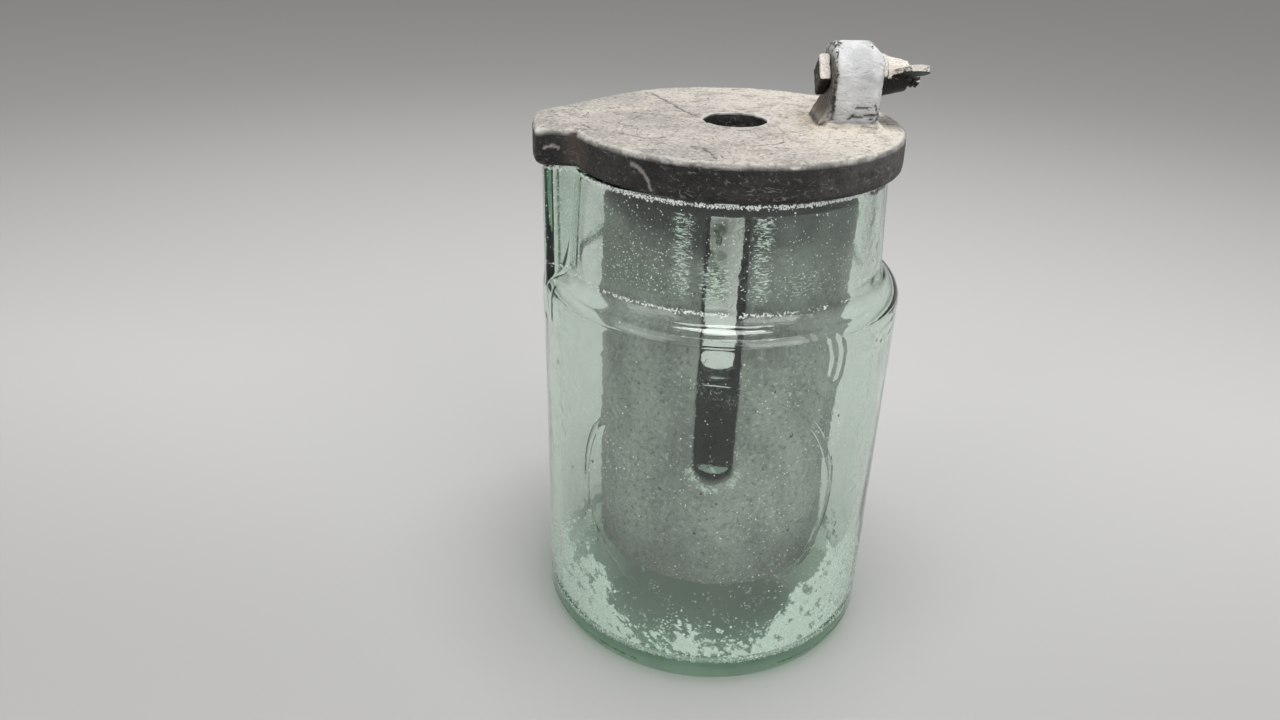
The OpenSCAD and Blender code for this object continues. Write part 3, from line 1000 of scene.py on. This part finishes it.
def jar_growth(points):
    """How thick salts lie inside the jar: banks on both sides of the foot, a ragged
    band round the bottom and crumbs on the floor."""
    x, y, z = points.T
    turn, radius = round_axis(points), np.hypot(x, y)
    ragged = fractal(points, 14, 71, 4)
    left = 30 * step_up(turn, 176, 208) * (1 - step_up(turn, 225, 256))
    right = 31 * step_up(turn, 284, 317) * (1 - step_up(turn, 334, 362))
    rear = bump_at(turn, 80, 70) * 12
    top = 17 + left + right + rear + ragged * 15
    wall = step_up(top - z, 0, 12)
    clumps = step_up(fractal(points, 3.2, 83, 3) + 0.42 * wall, -0.15, 0.30)
    floor = (0.35 + step_up(radius, 30, 47)) * step_up(fractal(points, 7, 91, 3), 0.0, 0.4)
    loose = step_up(30 + 7 * ragged - z, 0, 16) * step_up(
        fractal(points, 1.7, 97, 2), 0.06, 0.40)
    return np.where(z < FLOOR_T + 1.0, 0.8 * floor, np.maximum(wall * clumps, loose))


def crystals(name, shape, growth, count, seed, sizes, flatness):
    """Salt grown from a bed of points and faces, which goes: so many lumps to a square
    metre where growth is 1, between two sizes in millimetres."""
    bed = new_piece(name + "_bed", *shape, SALT)
    mark(bed, "growth", growth)
    return grown(bed, SCATTERED, {
        "Per Square Metre": count, "Seed": seed, "Smallest": sizes[0] * MM,
        "Largest": sizes[1] * MM, "Flatness": flatness, "Facets": 1, "Material": SALT}, name)


def inner_sheet(gap, low, high, rows):
    """Points and faces of a sheet all round, with a gap to the jar's inner wall."""
    profile = jar_inside()[::-1]
    length = np.concatenate([[0], np.cumsum(np.linalg.norm(np.diff(profile, axis=0), axis=1))])
    inside = (profile[:, 1] >= low) & (profile[:, 1] <= high)
    spread = np.linspace(length[inside][0], length[inside][-1], rows)
    profile = np.stack([np.interp(spread, length, profile[:, k]) for k in (0, 1)], 1)
    turn = np.radians(np.linspace(0, 360, SHEET_COLUMNS, endpoint=False))
    points, _, _ = jar_wall(profile, turn, INNER_WALL)
    upright = step_up(points[:, 2], FLOOR_T, FLOOR_T + FLOOR_FILLET)
    inward = -away_from(0, points * [1, 1, 0]) * upright[:, None]
    inward[:, 2] += 1 - upright
    return points + inward * gap, ring_faces(rows, SHEET_COLUMNS)[:, ::-1]


def outer_sheet(profile, columns, depth):
    """Points and faces of a sheet at that depth in the jar's outer wall, and each
    point's direction in degrees."""
    turn = np.radians(np.linspace(150, 510, columns))
    points, _, outward = jar_wall(profile, turn, OUTER_WALL)
    points[:, :2] -= outward * depth
    degrees = np.degrees(np.tile(turn, len(profile))) % 360
    return points, ring_faces(len(profile), columns), degrees


def build_jar_salt():
    sheet = inner_sheet(SALT_GAP, FLOOR_T - 0.1, 75, 110)
    return crystals("jar_salt", sheet, jar_growth(sheet[0]), count=1.5e6, seed=4,
                    sizes=(0.13, 0.52), flatness=0.5)


def build_crumb_and_highlight_lines():
    """White crumbs outside: a line of them along the rim under the cover, and another in the
    hollow at the neck's foot, thickest at the front. They are part dust and part painted
    highlight, for the bright lines that the glass shows there."""
    rim, rim_faces, _ = outer_sheet(
        run(NECK_R - RIM_IN, 151.4, NECK_R - RIM_IN, 155.9, 18), columns=361, depth=SET_IN)
    foot, foot_faces, degrees = outer_sheet(
        arc(HOLLOW_X, NECK_Z, HOLLOW_R, 220, 178, 14), columns=361, depth=SET_IN)
    rim_clumps, foot_clumps = (step_up(fractal(
        points * [1, 1, 0.2], 2.6, 141, 3), -0.75, 0.0) for points in (rim, foot))
    growth = np.concatenate([
        rim_clumps * (bump_at(rim[:, 2], 155.35, 0.45) + 0.006),
        foot_clumps * (0.06 + 0.7 * bump_at(degrees, 262, 40)) * bump_at(
            foot[:, 2], 126.3, 0.42)])
    return crystals("crumb_and_highlight_lines", joined((rim, rim_faces), (foot, foot_faces)), growth,
                    count=1.2e7, seed=21, sizes=(0.12, 0.34), flatness=0.6)


def build_body_specks():
    """Sparse pale specks of dust and dried splashes on the jar's body and neck."""
    body, body_faces, _ = outer_sheet(
        run(JAR_R, 12, JAR_R, 112, 40), columns=241, depth=SPECK_DEPTH)
    neck, neck_faces, degrees = outer_sheet(
        run(NECK_FOOT_R, 128, NECK_R - RIM_IN, 153, 12), columns=241, depth=SPECK_DEPTH)
    on_body, on_neck = (step_up(fractal(points, 22, 143, 3), 0.0, 0.7)
                        for points in (body, neck))
    on_neck = (0.10 + bump_at(degrees, 243, 14) + 0.3 * bump_at(degrees, 300, 22)) * (
        1 - 0.75 * step_up(neck[:, 2], 134, 146)) + 0.1 * on_neck
    growth = np.concatenate([0.32 * (0.15 + on_body), 0.15 + on_neck])
    return crystals("body_specks", joined((body, body_faces), (neck, neck_faces)), growth,
                    count=7.0e5, seed=33, sizes=(0.10, 0.22), flatness=0.5)


def build_jar_haze():
    """The dried film inside the jar: crusts round the salts and in the lip, wiped streaks
    on the neck, a veil over the rest, and a deep olive film on the rear wall behind the slots,
    which is painted shade for the dark room seen through them."""
    points, faces = inner_sheet(HAZE_GAP, FLOOR_T + 3.5, JAR_H - 3, 150)
    haze = new_piece("jar_haze", points, faces, HAZE)
    turn, z, growth = round_axis(points), points[:, 2], jar_growth(points)
    neck = step_up(z, 126, 131) * (1 - step_up(z, 151, 155))
    low_neck = 1 - step_up(z, 135, 143)
    streaks = np.maximum.reduce([
        0.9 * bump_at(turn, 257, 3.4), bump_at(turn, 284, 4.0) * 0.8,
        bump_at(turn, 269, 6.0) * 0.9 * low_neck, bump_at(turn, 300, 14) * 0.42 * low_neck,
        bump_at(turn, 324, 2.0) * 0.7, bump_at(turn, 205, 3.0) * 0.5]) * neck
    by_salts = step_up(growth, 0.0, 0.8) * step_up(growth, 0.35, 0.8)
    in_lip = 0.30 * bump_at(turn, 193, 12) * step_up(z, 122, 140) * (1 - step_up(z, 150, 154))
    film = np.maximum(by_salts, in_lip) + 0.14 * step_up(fractal(points, 30, 93), 0, 0.6)
    # Painted shade: a deep olive film on the rear wall behind the slots, for the dark room seen
    # through them
    behind = bump_at(turn, 91, 9) * step_up(z, 84, 91) * (1 - step_up(z, 116, 121))
    right_of_neck = 2.2 * step_up(turn, 284, 296) * step_up(z, 124, 130)
    slanted = 1 - step_up(z + 0.55 * (turn - 228), 144, 153)
    left_of_neck = 4.2 * step_up(266 - turn, 0, 10) * step_up(turn, 212, 226) * step_up(
        z, 125, 130) * slanted
    clear = 0.9 * bump_at(turn, 272, 13) * step_up(z, 60, 72)
    mark(haze, "film", np.clip(film, 0, 1))
    mark(haze, "streaks", streaks)
    mark(haze, "veil", (1.0 - 0.85 * step_up(z, 118, 130)) * (1 - clear) + right_of_neck
         + left_of_neck + 14 * behind)
    return haze


# Carbon cylinder

def build_cylinder():
    """The cylinder, worn and pitted, with its marks for salts, dried mud and painted shade."""
    piece = remade("carbon_cylinder", "carbon_cylinder_rough", CYLINDER_MESH, CYLINDER)
    points, normals = points_of(piece)
    cut_in = 0.30 * wear(points, 9, 21, level=0.4)
    cut_in += pits(points, 5.5, 23, above=0.55, depth=0.5, reach=1.5, soft=1.2)
    x, y, z = points.T
    across = np.abs(x - COVER_SHIFT)
    beside = np.where(z > SLOT_ROUND_Z, across, np.hypot(across, z - SLOT_ROUND_Z)) - SLOT_W / 2
    near_slot = bump_at(beside, 0.0, 1.6) * (z < SLOT_TOP + 2)
    cut_in += near_slot * 0.45 * (0.5 + 0.5 * fractal(points, 3.2, 25))
    move_points(piece, points - normals * cut_in[:, None])
    radius = np.hypot(x - COVER_SHIFT, y)
    crust = 0.35 * bump_at(beside, 0.9, 1.6) + 0.9 * bump_at(beside, 1.0, 4.0) * (
        z < SLOT_ROUND_Z) + 0.3 * step_up(CARBON_FOOT + 9 - z, 0, 8)
    crust *= step_up(radius, CARBON_R - 2.2, CARBON_R - 0.6)
    silt = step_up(CARBON_FOOT + 13 + 3 * fractal(points, 12, 31) - z, 0, 9)
    # The shade mark is painted shade: inside the bore, under the cover from about 112 mm up
    # (reaching lower at the front right), and towards the foot
    bore = 1 - step_up(radius, CARBON_R - 4.5, CARBON_R - 1.0)
    level = z + 7 * step_up(x, -30, -2) * (y < 0) + 5 * fractal(points, 18, 27)
    upper = 0.34 * step_up(level, 112, 127) + 0.66 * step_up(level, 139, 151)
    foot = 0.5 * step_up(52 + 4 * fractal(points, 16, 29) - z, 0, 22)
    mark(piece, "crust", np.clip(crust, 0, 1) * (z < 118))
    mark(piece, "sediment", silt * step_up(radius, CARBON_R - 2, CARBON_R - 1))
    mark(piece, "shade", np.maximum.reduce([0.97 * upper, 0.97 * bore, foot]))
    return piece


def build_slot_salt():
    """Crystals along the slots' edges, grown from a narrow bed on each edge."""
    z = np.concatenate([np.linspace(SLOT_TOP - 4, SLOT_ROUND_Z, 60),
                        SLOT_ROUND_Z - SLOT_W / 2 * np.sin(np.linspace(0.1, np.pi / 2, 16))])
    half = np.where(z > SLOT_ROUND_Z, SLOT_W / 2, np.sqrt(np.maximum(
        (SLOT_W / 2) ** 2 - (z - SLOT_ROUND_Z) ** 2, 0)))
    points, faces = [], []
    for face in (-1, 1):
        for side in (-1, 1):
            for beside, off in ((0, -1.6), (0.9, 0.12), (1.8, 0.12)):
                x = side * (half + beside)
                y = face * np.sqrt(np.maximum((CARBON_R + off) ** 2 - x ** 2, 0))
                points += np.stack([COVER_SHIFT + x, y, z], 1).tolist()
    count = len(z)
    for strip in range(4):
        for band in (0, 1):
            first = (strip * 3 + band) * count
            faces += [[first + i, first + i + 1, first + count + i + 1, first + count + i]
                      for i in range(count - 1)]
    points = np.array(points)
    growth = step_up(fractal(points, 4, 101, 3), -0.1, 0.5)
    growth *= 0.12 + 0.45 * step_up(92 - points[:, 2], 0, 26)
    return crystals("slot_salt", (points, faces), growth, count=2.0e6, seed=9,
                    sizes=(0.10, 0.36), flatness=0.7)


# Carbon cover

# Scratches and cracks are lines of points with half their width and their depth, chips
# are points with their reach and depth, and scuffs are lines with half their width. The
# lug's cracks lie on its front face and leave out that face's y.
LUG_FRONT_Y = -6
COVER_LINES = (
    ([(-26.2, 33.7, 167), (-19, 20, 167), (-14, 9, 167), (-9.5, 3, 167)], 0.45, 0.35),
    ([(-28.2, 3.5, 167), (-24, 2.2, 167), (-19.9, 2.4, 167)], 0.45, 0.5),
    ([(-41, -14.6, 167), (-38.3, -17.7, 167)], 0.4, 0.35),
    ([(-6.1, -33.9, 167), (-4, -39, 167), (-3, -44.2, 167)], 0.4, 0.35),
    ([(6, -30, 167), (12, -27.5, 167), (15, -24, 167)], 0.4, 0.3),
    ([(-30, -22, 167), (-22, -27, 167), (-18, -26, 167)], 0.35, 0.25),
    ([(-14.8, -45.8, 166.3), (-12.9, -46.5, 163.6)], 0.45, 0.4))
LUG_CRACKS = (
    ([(33.1, 169.6), (34.2, 170.5), (36, 170.2), (38.6, 170.9), (41.9, 171.2)], 0.24, 0.4),
    ([(34.5, 172.6), (36.4, 172.9), (38.4, 172.5)], 0.15, 0.2),
    ([(40.4, 173.6), (40.9, 172.3)], 0.2, 0.3),
    ([(39.2, 169.9), (40.6, 169.5), (41.9, 169.8)], 0.22, 0.35),
    ([(39.6, 168.5), (41.9, 168.2)], 0.2, 0.3))
CHIPS = ((17, -46.2, 167.6, 2.6, 1.4), (13.9, -47.3, 167.4, 1.4, 0.8),
         (21.5, -44.6, 167.5, 1.4, 0.7), (-28, -39, 167.4, 1.2, 0.5),
         (38, -31.5, 167.4, 1.6, 0.6), (-44.5, -21.5, 167.4, 1.2, 0.5))
PALE_SCUFFS = (
    ([(-24.3, -41.4, 163.6), (-22.9, -42.2, 163.4), (-21.2, -43, 162.2)], 0.45),
    ([(-21.2, -43, 162.2), (-19.6, -43.8, 160.3), (-19, -44.1, 157.7)], 0.15),
    ([(-50.6, -21.6, 161.6), (-48.2, -21.6, 162.4), (-46.6, -21.6, 161.7)], 0.12))


def cover_wear(points, local, top, side, on_lug, edge):
    """How deep the cover is worn at each point, and where it is gouged and chipped."""
    along, across, up = local.T
    worn_in = 0.10 * wear(points, 2.6, 41)
    worn_in += 0.22 * np.clip(fractal(points, 16, 47), 0, 1) * top
    worn_in += 0.30 * np.clip(fractal(points * [1, 1, 1.8], 6, 51), 0, 1) * side
    worn_in += pits(points, 4.2, 53, above=0.5, depth=0.45, reach=1.2, soft=1.1) * edge * 1.6
    worn_in += pits(points, 3.6, 57, above=0.72, depth=0.28, reach=0.9, soft=0.9) * (
        1 - on_lug * 0.7)
    gouge, chipped = np.zeros(len(points)), np.zeros(len(points))
    ragged = points + 0.5 * jitter(points, 3, 65)
    for line, half, depth in COVER_LINES:
        near = step_up(half + 0.20 - from_line(ragged, line), 0, half)
        gouge = np.maximum(gouge, near)
        worn_in += near * depth
    front = step_up(-across, 5.5, 8)
    flat = points * [1, 0, 1] + [0, LUG_FRONT_Y, 0] + 0.35 * jitter(points, 2, 75)
    for line, half, depth in LUG_CRACKS:
        line = [(x, LUG_FRONT_Y, z) for x, z in line]
        near = step_up(half + 0.18 - from_line(flat, line), 0, half) * front
        gouge = np.maximum(gouge, near * on_lug.round())
        worn_in += near * depth * on_lug
    for *middle, reach, depth in CHIPS:
        near = step_up(reach - np.linalg.norm(points - middle, axis=1), 0, reach)
        chipped = np.maximum(chipped, near)
        worn_in += near * depth
    away, _ = spots(points, 1.9, 59)
    left_bevel = bump_at(along, 0.6 - LUG_T / 2, 0.9) * on_lug
    crown = step_up(up, 6.5, 8.5) * on_lug
    worn_in += step_up(0.8 - away, 0, 0.8) * 0.35 * np.maximum(left_bevel, crown * 0.7)
    return worn_in, gouge, chipped


def build_cover():
    """The cover, chipped, scratched and cracked, with its marks for dust and stains, and for
    painted light and shade.
    """
    piece = remade("carbon_cover", "dusty_cover", COVER_MESH, COVER)
    points, normals = points_of(piece)
    local = in_terminal(points)
    (x, y, z), (along, across, up), (facing_x, _, facing_up) = points.T, local.T, normals.T
    top, side = step_up(facing_up, 0.6, 0.95), 1 - step_up(np.abs(facing_up), 0.25, 0.6)
    on_lug = step_up(z, COVER_TOP + 0.8, COVER_TOP + 2.6)
    edge = step_up(curving(piece, 3), 0.035, 0.11)
    # Concave corners, which take painted shade
    corner = step_up(-curving(piece, 6), 0.05, 0.30)
    worn_in, gouge, chipped = cover_wear(points, local, top, side, on_lug, edge)
    move_points(piece, points - normals * worn_in[:, None])

    # The lug stands on a root, whose upper part is the heel, and ends in a crown
    half_t = LUG_T / 2
    root = step_up(-along, half_t - 0.3, half_t + 0.4)
    heel = root * step_up(up, -12.0, -7.5)
    crown = step_up(up, 4.0, 7.0)
    low_front = 1 - step_up(z, 168.5, 175.5)
    # The lug's pale grey stops on its left-facing faces, which are left in painted shade, and
    # thins towards its foot
    lug = on_lug * (1 - step_up(-facing_x, 0.35, 0.8) * 0.9) * (1 - 0.4 * low_front)
    lug *= 1 - root
    lug *= 1 - 0.45 * bump_at(along, 0.5 - half_t, 0.7)
    left_side = on_lug * step_up(-facing_x, 0.3, 0.8) * (1 - crown)
    pocked = np.maximum.reduce([
        0.9 * bump_at(along, 0.5 - half_t, 0.8),
        0.8 * step_up(up, 7.2, 8.6) * (bump_at(along, 4.4, 1.8) + bump_at(along, -5.6, 1.2)),
        0.7 * crown * bump_at(along, 6.5, 1.2),
        0.5 * bump_at(along, half_t - 0.4, 0.5)]) * on_lug
    cracked = on_lug * step_up(-across, 5.5, 8) * bump_at(up, -9.0, 3.6) * (
        0.35 + bump_at(along, 4.0, 3.0))

    from_hole = np.hypot(x - COVER_SHIFT, y)
    by_hole = 0.5 * bump_at(from_hole, 11, 4) * step_up(fractal(points, 3, 81), 0.0, 0.5)
    by_lug = bump_at(along + 9, 0, 6) * bump_at(across, 0, 11)
    warm = by_lug + 0.5 * bump_at(across, -8, 5) * bump_at(along, 2, 8)
    stain = bump_at(x, -41.5, 3.2) * step_up(-y, 15, 20) * side * 0.8
    # Painted shade with rust streaks: dark brown on the lug's left side and on the heel under
    # the bolt head
    brown_stain_and_shade = (0.48 * left_side + 1.2 * heel) * (0.60 + 0.40 * step_up(
        fractal(points * [1, 1, 0.25], 1.6, 79), -0.4, 0.3))
    # Painted light: the sides grow paler towards the right, where the light falls. On top the
    # colour also grows paler towards the right and back.
    lit_right_side = side * step_up(x, 8, 40) * (0.6 + 0.4 * np.clip(fractal(points, 7, 83), -1, 1))
    lighter_to_right = np.maximum(top * step_up(x + 0.6 * y, -30, 45), lit_right_side)
    # Pale upper edges: edge wear, and a painted highlight where the light from above catches
    # them
    worn_and_lit_edge = edge * (z > COVER_Z + 5) * (0.45 + 0.55 * step_up(
        fractal(points, 5, 67), -0.4, 0.3)) * (1 - 0.75 * on_lug)
    scuffed = np.zeros(len(points))
    for line, half in PALE_SCUFFS:
        scuffed = np.maximum(scuffed, step_up(half + 0.3 - from_line(points, line), 0, half))
    marks = {
        "edge": worn_and_lit_edge, "worn": np.maximum(scuffed * 0.7, chipped),
        "corner": corner * (1 - 0.5 * on_lug) * (1 - root) * (from_hole > 12),
        "gouge": np.maximum(gouge, by_hole) * (facing_up > 0.2) + gouge * on_lug,
        "lug": np.maximum(lug, crown * on_lug * 0.9),
        "settled": 0.75 * root * (1 - heel) * on_lug,
        "warm": np.clip(warm, 0, 1), "stain": np.clip(np.maximum(stain, brown_stain_and_shade), 0, 1),
        "pocked": np.clip(pocked, 0, 1), "lighter_to_right": np.clip(lighter_to_right, 0, 1),
        "cracked": np.clip(cracked, 0, 1)}
    for name, values in marks.items():
        mark(piece, name, values)
    return piece


# Terminal

ALONG_BOLT = Matrix.Rotation(math.radians(90), 4, "Y")


def worn_down(points, depth, cell, seed):
    """Points moved towards their own middle by up to the depth."""
    away = away_from(points.mean(axis=0), points)
    return points - away * (depth * wear(points, cell, seed))[:, None]


def build_bolt():
    """Square head, plain core and the thread's ridge, which winds past the wing nut."""
    head, faces = rounded_block((HEAD_T, HEAD_W, HEAD_W), HEAD_ROUND, cuts=15)
    head = worn_down(head, depth=0.35, cell=2.2, seed=111)
    head = placed((head, faces), TERMINAL @ Matrix.Rotation(math.radians(HEAD_TURN), 4, "X")
                  @ Matrix.Translation((-LUG_T / 2 - HEAD_T / 2, 0, 0)))
    core_r, start, end = BOLT_R - PITCH / 2 + 0.04, -LUG_T / 2 - 0.4, BOLT_END_X
    profile = np.array([[core_r, start], [core_r, start + 4], [core_r, end - 0.9],
                        [core_r - 0.5, end - 0.25], [core_r - 1.1, end]])
    core = close_ends(turned(profile, 48), len(profile), 48, start, end)
    thread = grown(new_piece("thread_seed", [[0, 0, 0]], [], BRASS), THREAD, {
        "Crest Radius": BOLT_R * MM, "Pitch": PITCH * MM,
        "Turns": (end - 0.75 - THREAD_START) / PITCH, "Material": BRASS}, "thread_ridge")
    ridge = points_of(thread)[0] + [0, 0, THREAD_START], [
        list(p.vertices) for p in thread.data.polygons]
    bpy.data.objects.remove(thread)
    along = TERMINAL @ ALONG_BOLT
    return joined(head, placed(core, along), placed(ridge, along))


def build_washer():
    """A flat ring with rounded, slightly beaten edges."""
    inner, outer, thick, soft = WASHER_HOLE_R, WASHER_R, WASHER_T, WASHER_ROUND
    section = np.vstack([
        run(inner, soft, inner, thick - soft, 2), arc(
            inner + soft, thick - soft, soft, 180, 90, 3),
        run(inner + soft, thick, outer - soft, thick, 4), arc(
            outer - soft, thick - soft, soft, 90, 0, 3),
        run(outer, thick - soft, outer, soft, 2), arc(outer - soft, soft, soft, 0, -90, 3),
        run(outer - soft, 0, inner + soft, 0, 4), arc(inner + soft, soft, soft, -90, -180, 3)])
    columns = 96
    points = turned(section, columns)
    beaten = 0.12 * wear(points, 2.0, 121)
    radial = np.hypot(points[:, 0], points[:, 1])
    away = away_from([(inner + outer) / 2, thick / 2], np.stack([radial, points[:, 2]], 1))
    points[:, :2] *= (1 - away[:, :1] * beaten[:, None] / radial[:, None])
    points[:, 2] -= away[:, 1] * beaten
    here, last = np.arange(columns), (len(section) - 1) * columns
    there = (here + 1) % columns
    faces = np.vstack([ring_faces(len(section), columns), np.stack(
        [last + here, last + there, there, here], 1)])
    return placed((points, faces[:, ::-1]), TERMINAL @ Matrix.Translation(
        (WASHER_X, 0, 0)) @ ALONG_BOLT)


def build_wing_nut():
    """The wing nut, pitted and worn outside its bore, with its marks for bare edges."""
    piece = remade("wing_nut", "cast_wing_nut", NUT_MESH, BRASS)
    points, normals = points_of(piece)
    local = in_terminal(points)
    in_bore = np.hypot(local[:, 1], local[:, 2]) < BOLT_R + 0.5
    cut_in = 0.16 * wear(points, 1.8, 131, level=0.4)
    cut_in += pits(points, 1.4, 133, above=0.6, depth=0.16, reach=0.5, soft=0.4)
    cut_in = np.where(in_bore, 0, cut_in)
    edge = step_up(curving(piece, 3), 0.03, 0.09)
    move_points(piece, points - normals * cut_in[:, None])
    mark(piece, "edge", edge)
    return piece


# The pieces

def finished(piece, body, slot, *nodes):
    """Says which body a piece rides on and hides the CAD nodes it replaces. Its slot is not
    used.
    """
    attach(piece, body)
    if nodes:
        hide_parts(*nodes)


finished(new_piece("pressed_jar", *build_jar(), GLASS), "jar", "jar_glass", "glass_jar")
for build in (build_jar_salt, build_crumb_and_highlight_lines, build_body_specks, build_jar_haze):
    finished(build(), "jar", "jar_glass")
finished(build_cylinder(), "cover", "cylinder_carbon", "carbon_cylinder")
finished(build_slot_salt(), "cover", "cylinder_carbon")
finished(build_cover(), "cover", "cover_carbon", "carbon_cover")
for name, shape, body, node in (
        ("threaded_bolt", build_bolt(), "cover", "terminal_bolt"),
        ("flat_washer", build_washer(), "washer", "clamp_washer")):
    fitting = new_piece(name, *shape, BRASS)
    mark(fitting, "edge", step_up(curving(fitting, 2), 0.02, 0.10))
    finished(fitting, body, "terminal_metal", node)
finished(build_wing_nut(), "nut", "terminal_metal", "wing_nut")


# Floor, light and camera

def pale_floor():
    """A plain floor, which the glass mirrors. Its colour carries painted light: greyer in front
    and paler behind, deeper grey with distance as painted falloff, and pale again far away
    where it meets the room. Its clouds fade out with distance."""
    material, tree, shader = new_material("pale_floor")
    where = place_in_mm(tree)
    shade = texture(tree, where, 0.0025, 2.0, 0.5)
    away = put(tree, "ShaderNodeVectorMath", {0: where}, operation="LENGTH").outputs["Value"]
    shade = plus(tree, times(tree, minus(tree, shade, 0.5), rise(
        tree, away, 200.0, 900.0, 1.0, 0.0)), 0.5)
    # Painted light: the floor turns greyer with distance, as light falls off, and paler behind
    # the jar than in front
    far = rise(tree, away, 250.0, 1100.0, 0.0, 0.5)
    horizon = rise(tree, away, 1800.0, 7000.0)
    behind = rise(tree, put(tree, "ShaderNodeSeparateXYZ", {0: where}).outputs[1],
                  -90.0, 170.0)
    pale = coats(
        tree, (0.47, 0.466, 0.458, 1),
        (shade, (0.53, 0.526, 0.518, 1)),
        (behind, (0.70, 0.695, 0.685, 1)),
        (far, (0.30, 0.297, 0.292, 1)),
        (horizon, (0.67, 0.667, 0.660, 1)))
    tree.links.new(pale, shader.inputs["Base Color"])
    tree.links.new(rise(tree, shade, 0.3, 0.7, 0.55, 0.75), shader.inputs["Roughness"])
    return material


def lamp(name, place, aim_height, size, watts):
    """A square white lamp that faces the object. Lengths are metres."""
    light = bpy.data.lights.new(name, "AREA")
    light.shape, light.size, light.energy = "SQUARE", size, watts
    holder = in_scene(name, light)
    holder.location = place
    holder.rotation_euler = (Vector((0, 0, aim_height)) - Vector(place)).to_track_quat(
        "-Z", "Y").to_euler()


FLOOR_HALF, FLOOR_LEVEL = 40000.0, 0.03
new_piece("pale_floor", [
    (x * FLOOR_HALF, y * FLOOR_HALF, FLOOR_LEVEL) for x, y in (
        (-1, -1), (1, -1), (1, 1), (-1, 1))], [(0, 1, 2, 3)], pale_floor(), False)

lamp("softbox_above", (0.05, -0.05, 1.15), aim_height=0.1, size=0.5, watts=7.2)
lamp("softbox_left", (-1.0, -0.9, 0.8), aim_height=0.09, size=0.95, watts=5.0)
lamp("softbox_right", (0.8, -1.0, 0.8), aim_height=0.09, size=0.95, watts=7.5)

# The room: dim as the camera sees it and as it lights, brighter upwards where the glass
# and the metal mirror it
SEEN_ROOM, LIGHTING_ROOM = 0.24, 0.26
MIRRORED_LOW, MIRRORED_HIGH = 0.30, 0.85

world = bpy.data.worlds.new("soft_room")
bpy.context.scene.world = world
world.use_nodes = True
sky = world.node_tree
background = sky.nodes["Background"]
path = put(sky, "ShaderNodeLightPath").outputs
upward = put(sky, "ShaderNodeSeparateXYZ", {
    0: put(sky, "ShaderNodeTexCoord").outputs["Generated"]}).outputs["Z"]
mirrored = rise(sky, upward, -0.1, 0.5, MIRRORED_LOW, MIRRORED_HIGH)
mirrors = most(sky, path["Is Glossy Ray"], path["Is Transmission Ray"])
bright = put(sky, "ShaderNodeMix", {0: mirrors, 2: LIGHTING_ROOM, 3: mirrored}).outputs[0]
bright = put(sky, "ShaderNodeMix", {0: path["Is Camera Ray"], 2: bright,
                                    3: SEEN_ROOM}).outputs[0]
sky.links.new(bright, background.inputs["Strength"])
background.inputs["Color"].default_value = (1.0, 0.995, 0.985, 1.0)

# The camera as fitted to the photograph: millimetres and radians, and the focal length
# as a share of the picture's width
CAMERA_Y, CAMERA_Z = -278.87, 228.91
YAW, PITCH_DOWN, ROLL = -0.087, 0.470, -0.025
FOCAL_SHARE, SENSOR_W = 949.9 / 1280, 36.0

forward = Vector((math.sin(YAW) * math.cos(PITCH_DOWN), math.cos(YAW) * math.cos(PITCH_DOWN),
                  -math.sin(PITCH_DOWN)))
right = Vector((math.cos(YAW), -math.sin(YAW), 0))
down = forward.cross(right)
rolled_right = right * math.cos(ROLL) + down * math.sin(ROLL)
rolled_down = down * math.cos(ROLL) - right * math.sin(ROLL)
camera_data = bpy.data.cameras.new("camera")
camera_data.sensor_width = SENSOR_W
camera_data.sensor_fit = "HORIZONTAL"
camera_data.lens = SENSOR_W * FOCAL_SHARE
camera_data.clip_start = 0.01
camera = in_scene("camera", camera_data)
camera.matrix_world = Matrix.Translation((0, CAMERA_Y * MM, CAMERA_Z * MM)) @ Matrix(
    (rolled_right, -rolled_down, -forward)).transposed().to_4x4()
bpy.context.scene.camera = camera
bpy.context.scene.view_settings.view_transform = "Standard"
